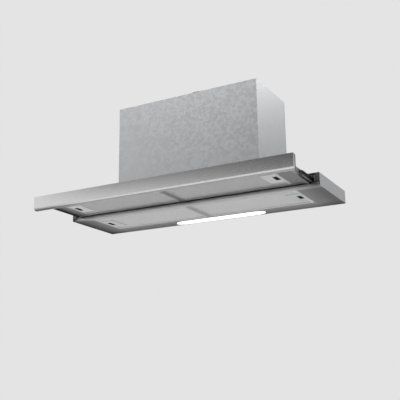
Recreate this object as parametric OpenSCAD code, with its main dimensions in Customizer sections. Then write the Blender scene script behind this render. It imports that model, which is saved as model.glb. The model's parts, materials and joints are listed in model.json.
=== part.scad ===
// Telescopic cooker hood with its visor drawn out, for a ninety centimetre wall unit.
// X runs along the width, Y from the room to the wall, Z up.
// The origin is in the middle of the four fixing holes, on top of the flat body.
// Left and right are as seen from the room. All lengths are in millimetres.

/* [Overall] */

// Width of the hood
body_w = 898; // [700:1:1200]
// Depth of the fixed body from its front lip to the wall
body_d = 242; // [220:1:320]
// Height of the flat fixed body
body_h = 41; // [37:0.5:55]
// Thickness of the folded steel
sheet = 1.2; // [0.8:0.1:1.5]
// Room between the closed strip and the body, for a door
door_gap = 23; // [16:0.5:30]

/* [Front strip] */

// Height of the strip
strip_h = 45; // [40:0.5:60]
// Thickness of the strip from front to back
strip_t = 17; // [14:0.5:20]
// Wall of the hollow strip
strip_wall = 2; // [1.5:0.1:3]
// Height of the sloped lower edge
bevel_h = 8.5; // [5:0.5:12]
// Depth of the sloped lower edge
bevel_d = 6; // [3:0.5:9]
// Thickness of each end cap
cap_t = 2; // [1.5:0.1:4]
// Length of the plug that holds an end cap
cap_plug = 8; // [5:0.5:15]
// Depth of an end cap, behind the folded end of the steel
cap_d = 7.5; // [6:0.5:8.5]
// Rounding of the rear upper edge
strip_corner = 5; // [3:0.5:7]

/* [Visor] */

// Step from the end of the strip to the side of the visor
visor_inset = 30; // [28:0.5:40]
// Height of the visor frame
visor_h = 23; // [21:0.5:24]
// Width of the folded rim under each side
rim_w = 8; // [5:0.5:12]
// Drop of that rim below the underside
rim_drop = 2; // [1.5:0.1:4]
// Clear height between the front lip and the visor
run_gap = 1.5; // [1:0.1:3]
// Height of the front lip of the body
lip_h = 9; // [8.5:0.1:10]
// Reach of the tray into the body when drawn out
tray_overlap = 26; // [15:1:35]
// Distance from the front filters to the rear wall of the visor
tray_rear = 37; // [30:0.5:45]
// Reach of the rails into the body when drawn out
rail_overlap = 64; // [58:1:66]
// Depth of the deck behind the strip
deck_d = 42; // [38:1:50]

/* [Rails] */

// Distance between the visor and the rail carrier
rail_w = 14; // [13:0.1:16]
// Height of the outer rail
rail_h = 24; // [23:0.5:26]
// Setback of the outer rail from the front lip
rail_setback = 4; // [2:0.5:8]
// Clear distance from the rails to the rear wall
rail_rear = 8; // [6:0.5:15]
// Start of the inner rail behind the strip
rail_front = 108; // [60:1:113]
// Steel of the rails
rail_t = 1.2; // [1:0.05:1.4]
// Radius of a ball
ball_r = 1.8; // [1.6:0.05:1.9]
// Length of a ball cage
cage_l = 52; // [46:0.5:54]
// Steel of the ball cage
cage_t = 0.8; // [0.6:0.05:1]
// Balls in one row
balls_per_row = 4; // [3:1:5]

/* [Grease filters] */

// Distance from the filters to the side of the visor
filter_side = 48; // [42:1:100]
// Thickness of a filter cassette
filter_h = 8; // [7.5:0.1:8.5]
// Steel of the filter cassette
filter_t = 0.8; // [0.6:0.05:1]
// Visible border of the cassette
filter_border = 9; // [6:0.5:14]
// Width of the bar between two filters
divider_w = 10; // [9.5:0.5:16]
// Distance from the strip to the front filters
front_margin = 20; // [17:0.5:24]
// Distance from the body lip to the rear filters
rear_margin = 18; // [14:0.5:20]
// Pitch of the folds in the filter pack
fold_pitch = 12; // [9:0.5:18]
// Thickness of the flat sheet in front of the folds
skin_t = 0.5; // [0.4:0.1:0.8]
// Length of the two fixed tabs on a cassette
tab_l = 3.5; // [2.5:0.1:4]
// Width of a fixed tab
tab_w = 24; // [15:1:35]

/* [Filter latches] */

// Width of the latch plate
latch_w = 46; // [44:0.5:50]
// Length of the latch plate
latch_d = 86; // [70:1:100]
// Distance from the latch plate to the end of the cassette
latch_edge = 6; // [4:0.5:8]
// Wall of the latch
latch_wall = 1.2; // [1:0.05:1.4]
// Width of the finger slot
slot_w = 14; // [10:0.5:15]
// Length of the finger slot
slot_l = 36; // [30:1:56]
// Shift of the finger slot towards the end of the cassette
slot_shift = 11; // [8:0.5:11.5]
// Distance that a latch draws back
latch_travel = 5; // [4:0.1:5.5]
// Thickness of the latch slider
slider_t = 4; // [3:0.1:4.3]
// Width of the latch tongue
tongue_w = 30; // [20:1:40]
// Reach of the tongue past the cassette
tongue_reach = 4.5; // [3.5:0.1:4.8]
// Steel of the latch spring
spring_t = 0.5; // [0.3:0.05:0.7]

/* [Light bar] */

// Length of the light bar
led_l = 336; // [250:1:450]
// Length of its tapered ends
led_end = 40; // [20:1:60]
// Distance of the light bar from the middle, to the right
led_x = 20; // [-40:1:40]
// Width of the light bar
led_w = 34; // [24:0.5:36]
// Drop of the light bar below the body
led_drop = 2.5; // [1:0.1:3.5]
// Distance from the light bar to the rear edge
led_rear = 14; // [12:0.5:16]
// Distance from the rear filters to the light bar
led_front = 16; // [12:0.5:24]

/* [Blower box] */

// Width of the blower box
box_w = 520; // [480:1:560]
// Height of the blower box
box_h = 340; // [330:1:380]
// Width of its screwed feet
foot_w = 14; // [12:0.5:20]
// Height of the fan axis above the flat body
fan_z = 128; // [122:0.5:135]
// Radius of the impeller
fan_r = 72; // [66:0.5:74]
// Gap between the impeller and each side of its housing
fan_gap = 8; // [5:0.5:14]
// Depth of a blade
blade_d = 13; // [10:0.5:15]
// Thickness of a blade
blade_t = 1.1; // [0.8:0.1:1.6]
// Angle by which a blade sweeps back
blade_sweep = 16; // [8:1:24]
// Blades around the impeller
blade_count = 34; // [24:1:40]
// Radius of the impeller hub
hub_r = 15; // [12:0.5:20]
// Width of the fan housing
scroll_w = 150; // [148:1:170]
// Wall of the fan housing
scroll_wall = 2; // [1.5:0.1:2.5]
// Smallest radius inside the fan housing
scroll_r0 = 80; // [79:0.5:84]
// Largest radius inside the fan housing
scroll_r1 = 114; // [108:0.5:116]
// Width of the fan outlet from front to back
outlet_d = 140; // [136:0.5:142]
// Radius of the two air inlets
inlet_r = 60; // [54:0.5:62]
// Radius of the motor
motor_r = 44; // [38:0.5:46]
// Length of the motor
motor_l = 58; // [50:1:64]
// Gap between the motor and the fan housing
motor_gap = 12; // [8:0.5:16]
// Radius of the motor shaft
shaft_r = 4; // [3:0.25:5]

/* [Duct collar] */

// Outer diameter of the duct collar
duct_d = 149; // [140:0.5:150]
// Height of the duct collar
collar_h = 40; // [36:0.5:50]
// Wall of the duct collar
collar_wall = 2; // [1.5:0.1:2.5]
// Width of its flange
flange_w = 8; // [7.5:0.1:8.5]
// Thickness of a non return flap
flap_t = 1.5; // [1.2:0.1:2]
// Radius of the flap axle
axle_r = 2; // [1.5:0.1:2.5]

/* [Electrics] */

// Length of the control box
ctrl_l = 110; // [90:1:130]
// Height of the control box
ctrl_h = 70; // [60:1:90]
// Depth of the control box
ctrl_d = 42; // [34:0.5:50]
// Radius of the mains gland
gland_r = 9; // [8:0.25:11]
// Radius of the hole for the mains lead
lead_r = 3.6; // [3:0.1:4.5]
// Length of the switch module
switch_l = 70; // [60:1:84]
// Depth of the switch module
switch_d = 26; // [24:0.5:30]
// Height of the switch module
switch_h = 9.5; // [9:0.1:10]
// Distance from the switch module to the side of the visor
switch_side = 94; // [60:1:120]

/* [Fasteners] */

// Radius of a screw shank
screw_r = 1.7; // [1.4:0.05:2]
// Radius of a screw head
head_r = 3.6; // [3:0.1:4]
// Height of a screw head
head_h = 2; // [1.5:0.1:2.4]
// Radius of the holes for the fixing screws of the hood
fix_r = 2.75; // [2:0.05:3.5]
// Distance from the fixing holes to the side of the hood
fix_edge = 69; // [60:1:90]
// Distance between the fixing holes from front to back
fix_y = 150; // [120:1:170]

/* [Hidden] */

// Gap between seated pieces
fit = 0.3;
// Clearance of a pin in its hole
pin_gap = 0.06;
// Clearance of a ball in its track
ball_gap = 0.1;
// Overlap that joins solids of one piece
eps = 0.05;
// Segments of small, middle and large circles
fn_small = 16;
fn_mid = 32;
fn_large = 64;
// Sides of a nut
nut_sides = 6;
// Steps along the fan housing, a blade and a spring
spiral_steps = 28;
blade_steps = 4;
spring_steps = 8;
// Steps of the strip's rounding and of a tapered end of the light bar
corner_steps = 6;
taper_steps = 8;
// Room between the fan housing and the back of the blower box
scroll_rear = 10;

// Depth of a filter cassette, and the travel of the visor that it gives
filter_d = body_d - rear_margin - led_front - led_w - led_rear;
travel = front_margin + filter_d + tray_rear - tray_overlap - door_gap;

// Body
half_w = body_w/2;
fix_x = body_w - 2*fix_edge;
y_body = travel + strip_t + door_gap;
y_wall = y_body + body_d;
z_top = strip_h;
z_body = strip_h - body_h;
z_plate = z_body + sheet;

// Strip
bevel_share = 0.55;
foot_screw_share = 5;
strip_hole_share = 0.38;

// Levels and edges of the visor
vis_x = half_w - visor_inset;
vis_z0 = z_body + lip_h + run_gap;
vis_z1 = vis_z0 + visor_h;
vis_panel = vis_z0 + rim_drop;
vis_y1 = y_body + tray_overlap;
arm_y1 = y_body + rail_overlap;

// Filter cassettes and their latches
filter_l = vis_x - filter_side - divider_w/2;
open_x0 = divider_w/2;
open_x1 = open_x0 + filter_l;
fil_x0 = open_x0 + fit;
fil_x1 = open_x1 - fit;
front_y0 = strip_t + front_margin;
rear_y0 = y_body + rear_margin;
lat_x1 = fil_x1 - latch_edge;
lat_x0 = lat_x1 - latch_w;
slot_x = (lat_x0 + lat_x1)/2 + slot_shift;
slot_x0 = slot_x - slot_w/2;
slot_x1 = slot_x + slot_w/2;
slot_in_share = 0.14;
win_x0 = slot_x0 + slot_w*slot_in_share;
win_x1 = slot_x1 + fit;
sld_x0 = win_x0 - latch_travel;
sld_x1 = lat_x1 - latch_wall - fit;
sld_z = sheet + fit;
sld_half = latch_d/2 - latch_wall - fit;
spring_share = 0.8;

// Rails
lip_x_share = 0.15;
ball_x_share = 0.46;
inner_w_share = 0.6;
cage_x_share = 0.78;
rail_x1 = vis_x + rail_w;
rail_zc = vis_z0 + visor_h/2;
rail_in = rail_h/2 - rail_t;
inner_half = rail_in - 2*ball_r - 2*ball_gap;
ball_x = vis_x + rail_w*ball_x_share;
ball_z = rail_in - ball_gap - ball_r;
rail_y0 = y_body + rail_setback;
rail_y1 = y_wall - rail_rear;
inner_y0 = strip_t + rail_front;
inner_y1 = min(arm_y1, rail_y1 - travel);
cage_y0 = (rail_y0 + inner_y1 - cage_l)/2;

// Light bar
led_y = y_wall - led_rear - led_w/2;

// Blower box and fan
fan_w = scroll_w - 2*scroll_wall - 2*fan_gap;
flap_z_share = 0.35;
box_y0 = y_body + rail_setback;
box_y1 = y_wall - sheet;
z_lid = z_top + box_h;
foot_x = box_w/2 + foot_w/2;
foot_ys = [box_y0 + foot_w, (box_y0 + box_y1)/2, box_y1 - foot_w];
fan_y = box_y1 - sheet - scroll_wall - scroll_r1 - scroll_rear;
fan_h = z_top + fan_z;
out_y1 = fan_y + scroll_r1;
out_y0 = out_y1 - outlet_d;
cut_deg = acos((out_y0 - fan_y)/scroll_r0);
blade_rim_share = 0.2;
shaft_end_share = 1.4;

// Motor and its bracket
bell_share = 0.62;
rib_share = 0.06;
ring_share = 0.1;
motor_x1 = -scroll_w/2 - motor_gap;
motor_x0 = motor_x1 - motor_l;
bell_l = motor_l*(1 - bell_share)/2;
arm_degs = [90, 210, 330];
arm_r = (inlet_r + scroll_r0)/2;

// Duct collar and its flaps
duct_y = (out_y0 + out_y1)/2;
duct_r = duct_d/2;
bore_r = duct_r - collar_wall;
z_flap = z_lid + sheet + collar_h*flap_z_share;
stop_l = flange_w/2;
stop_w = flange_w*2;
collar_screw_r = duct_r + flange_w - head_r - pin_gap;
collar_degs = [45, 135, 225, 315];
flap_r = bore_r - 2*fit;
barrel_share = 0.16;
barrel_shares = [-0.7, 0.3];

// Control box and mains gland
ctrl_up_share = 0.3;
relay_share = 0.22;
relay_fill_share = 0.7;
gland_neck_share = 0.7;
gland_cap_share = 0.9;
gland_cap_shares = [0.6, 1.3];
ctrl_x1 = box_w/2 - sheet;
ctrl_x0 = ctrl_x1 - ctrl_d;
ctrl_y0 = (box_y0 + box_y1 - ctrl_l)/2;
ctrl_z1 = z_lid - ctrl_h*ctrl_up_share;
ctrl_z0 = ctrl_z1 - ctrl_h;
gland_x = (scroll_w/2 + foot_w + ctrl_x0)/2;
gland_y = (box_y0 + box_y1)/2;

// Switch module in the deck of the visor
switch_up_share = 2.5;
rock_z_share = 0.55;
rock_pin_share = 0.6;
switch_x = vis_x - switch_side - switch_l;
switch_y0 = strip_t + sheet + head_h + 2*fit;
switch_z1 = vis_z1 + sheet*switch_up_share;
switch_z0 = switch_z1 - switch_h;
rock_l = (switch_l - 3*sheet)/2 - 2*fit;
rock_d = switch_d - 2*sheet - 2*fit;
rock_z = switch_z0 + switch_h*rock_z_share;
rock_pin = axle_r*rock_pin_share;

// Moves the drawing frame, whose Y starts at the strip's face and Z at its lower edge
module placed() {
    translate([0, -(y_body + y_wall)/2, -z_top])
        children();
}

// Box given by its limits
module slab(x0, x1, y0, y1, z0, z1) {
    translate([x0, y0, z0])
        cube([x1 - x0, y1 - y0, z1 - z0]);
}

// Draws on the right side, or mirrored on the left
module on_side(left) {
    if (left) {
        mirror([1, 0, 0])
            children();
    } else {
        children();
    }
}

// Draws on both sides
module both_sides() {
    children();
    mirror([1, 0, 0])
        children();
}

// Cylinder along X
module rod_x(x0, x1, y, z, r, fn) {
    translate([x0, y, z])
        rotate([0, 90, 0])
            cylinder(h = x1 - x0, r = r, $fn = fn);
}

// Cylinder along Y
module rod_y(x, y0, y1, z, r, fn) {
    translate([x, y0, z])
        rotate([-90, 0, 0])
            cylinder(h = y1 - y0, r = r, $fn = fn);
}

// Cylinder along Z
module rod_z(x, y, z0, z1, r, fn) {
    translate([x, y, z0])
        cylinder(h = z1 - z0, r = r, $fn = fn);
}

// Bar with tapered ends, its outline widened by g
module light_area(g) {
    function end(s, a) = [s*(led_l/2 - led_end) + led_end*cos(a) + s*g, (led_w/2 + g)*sin(a)];
    n = taper_steps;
    polygon(concat([for (i = [-n:n]) end(1, 90*i/n)], [for (i = [n:3*n]) end(-1, 90*i/n)]));
}

// Places where the hood is screwed up into the wall unit
module at_fixings() {
    for (x = [-fix_x/2, fix_x/2])
        for (y = [-fix_y/2, fix_y/2])
            translate([x, (y_body + y_wall)/2 + y, 0])
                children();
}

// Places of the screws in the feet of the blower box
module at_feet() {
    for (x = [-foot_x, foot_x])
        for (y = foot_ys)
            translate([x, y, 0])
                children();
}

// Places of the screws that hold the fan housing under the lid
module at_lid() {
    for (x = [-1, 1])
        for (y = [out_y0 + foot_w, out_y1 - foot_w])
            translate([x*(scroll_w/2 + foot_w/2), y, 0])
                children();
}

module canopy_shell() {
    color("silver") placed() {
        difference() {
            slab(-half_w, half_w, y_body, y_wall, z_plate, z_top);
            slab(-half_w + sheet, half_w - sheet, y_body - sheet, y_wall - sheet,
                z_plate - sheet, z_top - sheet);
            slab(-box_w/2 + foot_w, box_w/2 - foot_w, box_y0 + foot_w,
                box_y1 - foot_w, z_top - 2*sheet, z_top + sheet);
            at_fixings()
                rod_z(0, 0, z_top - 2*sheet, z_top + sheet, fix_r, fn_small);
            at_feet()
                rod_z(0, 0, z_top - 2*sheet, z_top + sheet, screw_r + pin_gap, fn_small);
        }
        // Corners that close the front beside the rails
        both_sides()
            slab(rail_x1 + sheet + fit, half_w - sheet + eps, y_body, y_body + sheet,
                z_body + lip_h + fit, z_top - sheet + eps);
    }
}

// Opening for one filter, with the tongue and tabs resting on its edge
module filter_hole(y0, z0) {
    slab(open_x0, open_x1, y0 - fit, y0 + filter_d + fit, z0 - sheet, z0 + 2*sheet);
}

module bottom_frame() {
    color("silver") placed() {
        difference() {
            union() {
                slab(-half_w, half_w, y_body, y_wall, z_body, z_plate);
                slab(-half_w + sheet, half_w - sheet, y_body, y_body + sheet,
                    z_body, z_body + lip_h);
                both_sides()
                    slab(rail_x1, rail_x1 + sheet, y_body, y_wall - 2*sheet,
                        z_body, rail_zc + rail_h/2 + fit);
            }
            both_sides()
                filter_hole(rear_y0, z_body);
            translate([led_x, led_y, z_body - sheet])
                linear_extrude(height = 3*sheet)
                    light_area(fit);
        }
    }
}

module blower_box() {
    color("gainsboro") placed() {
        difference() {
            union() {
                slab(-box_w/2, box_w/2, box_y0, box_y1, z_top, z_lid);
                both_sides()
                    slab(box_w/2 - sheet, box_w/2 + foot_w, box_y0, box_y1,
                        z_top, z_top + sheet);
            }
            slab(-box_w/2 + sheet, box_w/2 - sheet, box_y0 + sheet, box_y1 - sheet,
                z_top - sheet, z_lid + sheet);
            at_feet()
                rod_z(0, 0, z_top - sheet, z_top + 2*sheet, screw_r + pin_gap, fn_small);
        }
    }
}

module box_lid() {
    color("gainsboro") placed() {
        difference() {
            slab(-box_w/2, box_w/2, box_y0, box_y1, z_lid, z_lid + sheet);
            rod_z(0, duct_y, z_lid - sheet, z_lid + 2*sheet, bore_r, fn_large);
            rod_z(gland_x, gland_y, z_lid - sheet, z_lid + 2*sheet,
                gland_r*gland_neck_share + pin_gap, fn_mid);
            at_lid()
                rod_z(0, 0, z_lid - sheet, z_lid + 2*sheet, screw_r + pin_gap, fn_small);
            at_collar()
                rod_z(0, 0, z_lid - sheet, z_lid + 2*sheet, screw_r + pin_gap, fn_small);
        }
    }
}

// Curve of the fan housing, widened by w
function spiral(w) = [
    for (i = [0:spiral_steps])
        let (a = cut_deg + (360 - cut_deg)*i/spiral_steps)
        let (r = scroll_r0 + (scroll_r1 - scroll_r0)*i/spiral_steps + w)
            [r*cos(a), r*sin(a)]
];

module scroll_area(w, top) {
    polygon(concat([[out_y0 - fan_y - w, top]], spiral(w), [[scroll_r1 + w, top]]));
}

// Turns a drawing in Y and Z to stand along X
module stand_x(x0, x1) {
    translate([x0, fan_y, fan_h])
        rotate([90, 0, 90])
            linear_extrude(height = x1 - x0)
                children();
}

module scroll_housing() {
    sw = scroll_w/2;
    color("dimgray") placed() {
        difference() {
            union() {
                stand_x(-sw, sw)
                    scroll_area(scroll_wall, z_lid - fan_h);
                slab(-sw - foot_w, sw + foot_w, out_y0 - scroll_wall,
                    out_y1 + scroll_wall, z_lid - scroll_wall, z_lid);
            }
            stand_x(-sw + scroll_wall, sw - scroll_wall)
                scroll_area(0, z_lid - fan_h + scroll_wall);
            rod_x(-scroll_w, scroll_w, fan_y, fan_h, inlet_r, fn_large);
            at_lid()
                rod_z(0, 0, z_lid - 2*scroll_wall, z_lid + scroll_wall,
                    screw_r + pin_gap, fn_small);
            for (a = arm_degs)
                translate([0, fan_y, fan_h])
                    rotate([a, 0, 0])
                        rod_x(-scroll_w, 0, arm_r, 0, screw_r + pin_gap, fn_small);
        }
    }
}

module motor() {
    color("darkgray") placed() {
        difference() {
            union() {
                rod_x(motor_x0 + bell_l, motor_x1 - bell_l, fan_y, fan_h, motor_r, fn_large);
                rod_x(motor_x0, motor_x1, fan_y, fan_h, motor_r*bell_share, fn_large);
                rod_x(motor_x0 + bell_l/2, motor_x1 - bell_l/2, fan_y, fan_h,
                    motor_r*(1 - rib_share), fn_large);
            }
            rod_x(motor_x0 + bell_l, motor_x1 + bell_l, fan_y, fan_h,
                shaft_r + pin_gap, fn_mid);
        }
    }
}

module motor_bracket() {
    ring = motor_r*ring_share;
    color("gray") placed() {
        difference() {
            union() {
                rod_x(motor_x1 - motor_l/2, motor_x1 - motor_l/2 + ring*2, fan_y, fan_h,
                    motor_r + ring, fn_large);
                for (a = arm_degs)
                    translate([0, fan_y, fan_h])
                        rotate([a, 0, 0]) {
                            slab(motor_x1 - motor_l/2, -scroll_w/2, motor_r + fit,
                                motor_r + ring, -ring, ring);
                            slab(-scroll_w/2 - sheet, -scroll_w/2, motor_r + fit,
                                arm_r + head_r, -head_r, head_r);
                        }
            }
            rod_x(motor_x0, motor_x1 + motor_gap*2, fan_y, fan_h, motor_r + eps, fn_large);
            for (a = arm_degs)
                translate([0, fan_y, fan_h])
                    rotate([a, 0, 0])
                        rod_x(-scroll_w, 0, arm_r, 0, screw_r + pin_gap, fn_small);
        }
    }
}

module control_box() {
    color("black") placed() {
        difference() {
            slab(ctrl_x0, ctrl_x1, ctrl_y0, ctrl_y0 + ctrl_l, ctrl_z0, ctrl_z1);
            slab(ctrl_x0 + scroll_wall, ctrl_x1 + sheet, ctrl_y0 + scroll_wall,
                ctrl_y0 + ctrl_l - scroll_wall, ctrl_z0 + scroll_wall,
                ctrl_z1 - scroll_wall);
        }
    }
}

module control_board() {
    b = scroll_wall + fit;
    r = ctrl_l*relay_share;
    xm = (ctrl_x0 + ctrl_x1)/2;
    color("darkgreen") placed() {
        slab(xm, xm + scroll_wall, ctrl_y0 + b, ctrl_y0 + ctrl_l - b,
            ctrl_z0 + b, ctrl_z1 - b);
        for (i = [1:3])
            slab(xm - ctrl_d/4, xm + eps, ctrl_y0 + i*r, ctrl_y0 + i*r + r*relay_fill_share,
                ctrl_z0 + ctrl_h/4, ctrl_z0 + ctrl_h/2);
    }
}

module cable_gland() {
    neck = gland_r*gland_neck_share;
    color("black") placed() {
        difference() {
            union() {
                rod_z(gland_x, gland_y, z_lid - 2*foot_w/3, z_lid + foot_w,
                    neck, fn_mid);
                rod_z(gland_x, gland_y, z_lid + sheet, z_lid + sheet + foot_w/3,
                    gland_r, nut_sides);
                rod_z(gland_x, gland_y, z_lid - foot_w/3, z_lid, gland_r, nut_sides);
                rod_z(gland_x, gland_y, z_lid + foot_w*gland_cap_shares[0],
                    z_lid + foot_w*gland_cap_shares[1], gland_r*gland_cap_share, fn_mid);
            }
            rod_z(gland_x, gland_y, z_lid - foot_w, z_lid + foot_w*2, lead_r, fn_mid);
        }
    }
}

module duct_collar() {
    z0 = z_lid + sheet;
    color("dimgray") placed() {
        difference() {
            union() {
                rod_z(0, duct_y, z0, z0 + collar_h, duct_r, fn_large);
                rod_z(0, duct_y, z0, z0 + collar_wall, duct_r + flange_w, fn_large);
            }
            rod_z(0, duct_y, z0 - sheet, z0 + collar_h + sheet, bore_r, fn_large);
            at_collar()
                rod_z(0, 0, z0 - sheet, z0 + flange_w, screw_r + pin_gap, fn_small);
            rod_x(-duct_d, duct_d, duct_y, z_flap, axle_r + pin_gap, fn_small);
        }
        // Two short stops that the closed flaps rest above
        for (s = [-1, 1])
            translate([0, duct_y, z_flap - axle_r - 2*flap_t - fit])
                rotate([0, 0, s*90])
                    translate([bore_r - stop_l, -stop_w/2, 0])
                        cube([stop_l + collar_wall/2, stop_w, flap_t]);
    }
}

// Places of the screws in the collar flange, which go through the lid
module at_collar() {
    for (a = collar_degs)
        translate([0, duct_y, 0])
            rotate([0, 0, a])
                translate([collar_screw_r, 0, 0])
                    children();
}

module flap_axle() {
    color("silver") placed()
        rod_x(-duct_r + collar_wall/2, duct_r - collar_wall/2, duct_y, z_flap,
            axle_r, fn_small);
}

// Half disc with two barrels on the axle
module flap() {
    br = axle_r + flap_t;
    difference() {
        union() {
            translate([0, 0, -axle_r - flap_t])
                linear_extrude(height = flap_t)
                    difference() {
                        circle(r = flap_r, $fn = fn_large);
                        translate([-duct_d, -duct_d])
                            square([2*duct_d, duct_d + br + fit]);
                    }
            for (s = barrel_shares)
                translate([s*flap_r - barrel_share*flap_r/2, 0, 0]) {
                    rotate([0, 90, 0])
                        cylinder(h = barrel_share*flap_r, r = br, $fn = fn_mid);
                    translate([0, 0, -axle_r - flap_t])
                        cube([barrel_share*flap_r, br + 2*fit, flap_t]);
                }
        }
        translate([-duct_d, 0, 0])
            rotate([0, 90, 0])
                cylinder(h = 2*duct_d, r = axle_r + pin_gap, $fn = fn_small);
    }
}

module flap_rear() {
    color("dimgray") placed()
        translate([0, duct_y, z_flap])
            flap();
}

module flap_front() {
    color("dimgray") placed()
        translate([0, duct_y, z_flap])
            rotate([0, 0, 180])
                flap();
}

// Impeller drawn along Z and turned to X
module fan_blades() {
    function arc(k, s) =
        let (t = k/blade_steps)
        let (r = fan_r - blade_d*(1 - t))
        let (a = blade_sweep*(1 - t)*(1 - t))
            [r*cos(a) - s*sin(a), r*sin(a) + s*cos(a)];
    for (i = [0:blade_count - 1])
        rotate([0, 0, i*360/blade_count])
            polygon(concat([for (k = [0:blade_steps]) arc(k, blade_t/2)],
                [for (k = [blade_steps:-1:0]) arc(k, -blade_t/2)]));
}

module impeller() {
    rim = blade_d*blade_rim_share;
    color("gray") placed()
        translate([-fan_w/2, fan_y, fan_h])
            rotate([90, 0, 90])
                difference() {
                    union() {
                        linear_extrude(height = fan_w)
                            intersection() {
                                circle(r = fan_r - eps, $fn = fn_large);
                                fan_blades();
                            }
                        for (z = [0, fan_w - rim])
                            translate([0, 0, z])
                                linear_extrude(height = rim)
                                    difference() {
                                        circle(r = fan_r, $fn = fn_large);
                                        circle(r = fan_r - blade_d, $fn = fn_large);
                                    }
                        translate([0, 0, fan_w/2 - scroll_wall/2])
                            cylinder(h = scroll_wall, r = fan_r, $fn = fn_large);
                        translate([0, 0, fan_w/2 - hub_r])
                            cylinder(h = 2*hub_r, r = hub_r, $fn = fn_mid);
                    }
                    translate([0, 0, -eps])
                        cylinder(h = fan_w + 2*eps, r = shaft_r + pin_gap, $fn = fn_mid);
                }
}

module motor_shaft() {
    color("silver") placed()
        rod_x(motor_x0 + bell_l + fit, hub_r*shaft_end_share, fan_y, fan_h, shaft_r, fn_mid);
}

module rail_outer(left) {
    color("lightgray") placed() on_side(left)
        difference() {
            slab(vis_x + rail_w*lip_x_share, rail_x1, rail_y0, rail_y1,
                rail_zc - rail_h/2, rail_zc + rail_h/2);
            slab(vis_x + rail_w*lip_x_share + rail_t, rail_x1 - rail_t,
                rail_y0 - rail_t, rail_y1 + rail_t,
                rail_zc - rail_in, rail_zc + rail_in);
            slab(vis_x, rail_x1 - 2*rail_t, rail_y0 - rail_t, rail_y1 + rail_t,
                rail_zc - ball_z - fit, rail_zc + ball_z + fit);
        }
}

module rail_inner(left) {
    color("lightgray") placed() on_side(left)
        difference() {
            slab(vis_x, vis_x + rail_w*inner_w_share, inner_y0, inner_y1,
                rail_zc - inner_half, rail_zc + inner_half);
            slab(vis_x + rail_t, vis_x + rail_w, inner_y0 - rail_t, inner_y1 + rail_t,
                rail_zc - inner_half + rail_t, rail_zc + inner_half - rail_t);
        }
}

// Places of the balls in one cage
module at_balls() {
    step = cage_l/balls_per_row;
    for (i = [0:balls_per_row - 1])
        for (s = [-1, 1])
            translate([ball_x, cage_y0 + step*(2*i + 1)/2, rail_zc + s*ball_z])
                children();
}

module ball_cage(left) {
    x0 = ball_x - ball_r - 2*fit;
    x1 = vis_x + rail_w*cage_x_share;
    color("gray") placed() on_side(left)
        difference() {
            slab(x0, x1, cage_y0, cage_y0 + cage_l,
                rail_zc - ball_z - cage_t/2, rail_zc + ball_z + cage_t/2);
            slab(x0 - cage_t, x1 - cage_t, cage_y0 - cage_t, cage_y0 + cage_l + cage_t,
                rail_zc - ball_z + cage_t/2, rail_zc + ball_z - cage_t/2);
            at_balls()
                translate([0, 0, -cage_t])
                    cylinder(h = 2*cage_t, r = ball_r + pin_gap, $fn = fn_small);
        }
}

module rail_balls(left) {
    color("white") placed() on_side(left)
        at_balls()
            sphere(r = ball_r, $fn = fn_small);
}

// Pan of a filter cassette
module filter_frame(y0, z0) {
    b = filter_border;
    y1 = y0 + filter_d;
    yc = y0 + filter_d/2;
    difference() {
        union() {
            slab(fil_x0, fil_x1, y0, y1, z0, z0 + filter_h);
            for (y = [y0 + tab_w, y1 - 2*tab_w])
                slab(fil_x0 - tab_l, fil_x0 + filter_t, y, y + tab_w,
                    z0 + sheet + fit, z0 + sheet + fit + filter_t);
        }
        slab(fil_x0 + filter_t, fil_x1 - filter_t, y0 + filter_t, y1 - filter_t,
            z0 + filter_t, z0 + 2*filter_h);
        slab(fil_x0 + b, fil_x1 - b, y0 + b, y1 - b, z0 - filter_h, z0 + filter_h);
        slab(lat_x0 - fit, lat_x1 + fit, yc - latch_d/2 - fit, yc + latch_d/2 + fit,
            z0 - filter_h, z0 + filter_h);
        slab(lat_x1, fil_x1 + filter_t, yc - tongue_w/2 - fit, yc + tongue_w/2 + fit,
            z0 + sheet, z0 + sld_z + slider_t + fit);
    }
}

// Folded pack of the filter behind its flat sheet, with a bay for the latch
module filter_mesh(y0, z0) {
    x0 = fil_x0 + filter_t + fit;
    x1 = fil_x1 - filter_t - fit;
    n = floor((x1 - x0)/fold_pitch);
    p = (x1 - x0)/n;
    t = filter_t;
    a = z0 + filter_t + fit/2;
    h = filter_h - 3*filter_t - fit;
    yc = y0 + filter_d/2;
    low = [for (i = [0:2*n]) [x0 + i*p/2, (i % 2 == 0) ? a : a + h - t]];
    high = [for (i = [2*n:-1:0]) [x0 + i*p/2, (i % 2 == 0) ? a + 2*t : a + h + t]];
    difference() {
        translate([0, y0 + filter_d - filter_t - fit, 0])
            rotate([90, 0, 0])
                linear_extrude(height = filter_d - 2*filter_t - 2*fit) {
                    polygon(concat(low, high));
                    translate([x0, a])
                        square([x1 - x0, skin_t]);
                }
        slab(lat_x0 - 3*fit, fil_x1, yc - latch_d/2 - 3*fit, yc + latch_d/2 + 3*fit,
            z0 - filter_h, z0 + 2*filter_h);
    }
}

// Fixed plate and case of a latch, with the finger slot
module latch_body(y0, z0) {
    w = latch_wall;
    yc = y0 + filter_d/2;
    h = filter_h - w/2;
    difference() {
        slab(lat_x0, lat_x1, yc - latch_d/2, yc + latch_d/2, z0, z0 + h);
        slab(lat_x0 + w, lat_x1 - w, yc - latch_d/2 + w, yc + latch_d/2 - w,
            z0 + w, z0 + h - w);
        slab(slot_x0, slot_x1, yc - slot_l/2, yc + slot_l/2, z0 - w, z0 + 2*w);
        slab(lat_x1 - 2*w, lat_x1 + w, yc - tongue_w/2 - fit, yc + tongue_w/2 + fit,
            z0 + sld_z - fit, z0 + sld_z + slider_t + fit);
    }
}

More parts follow.
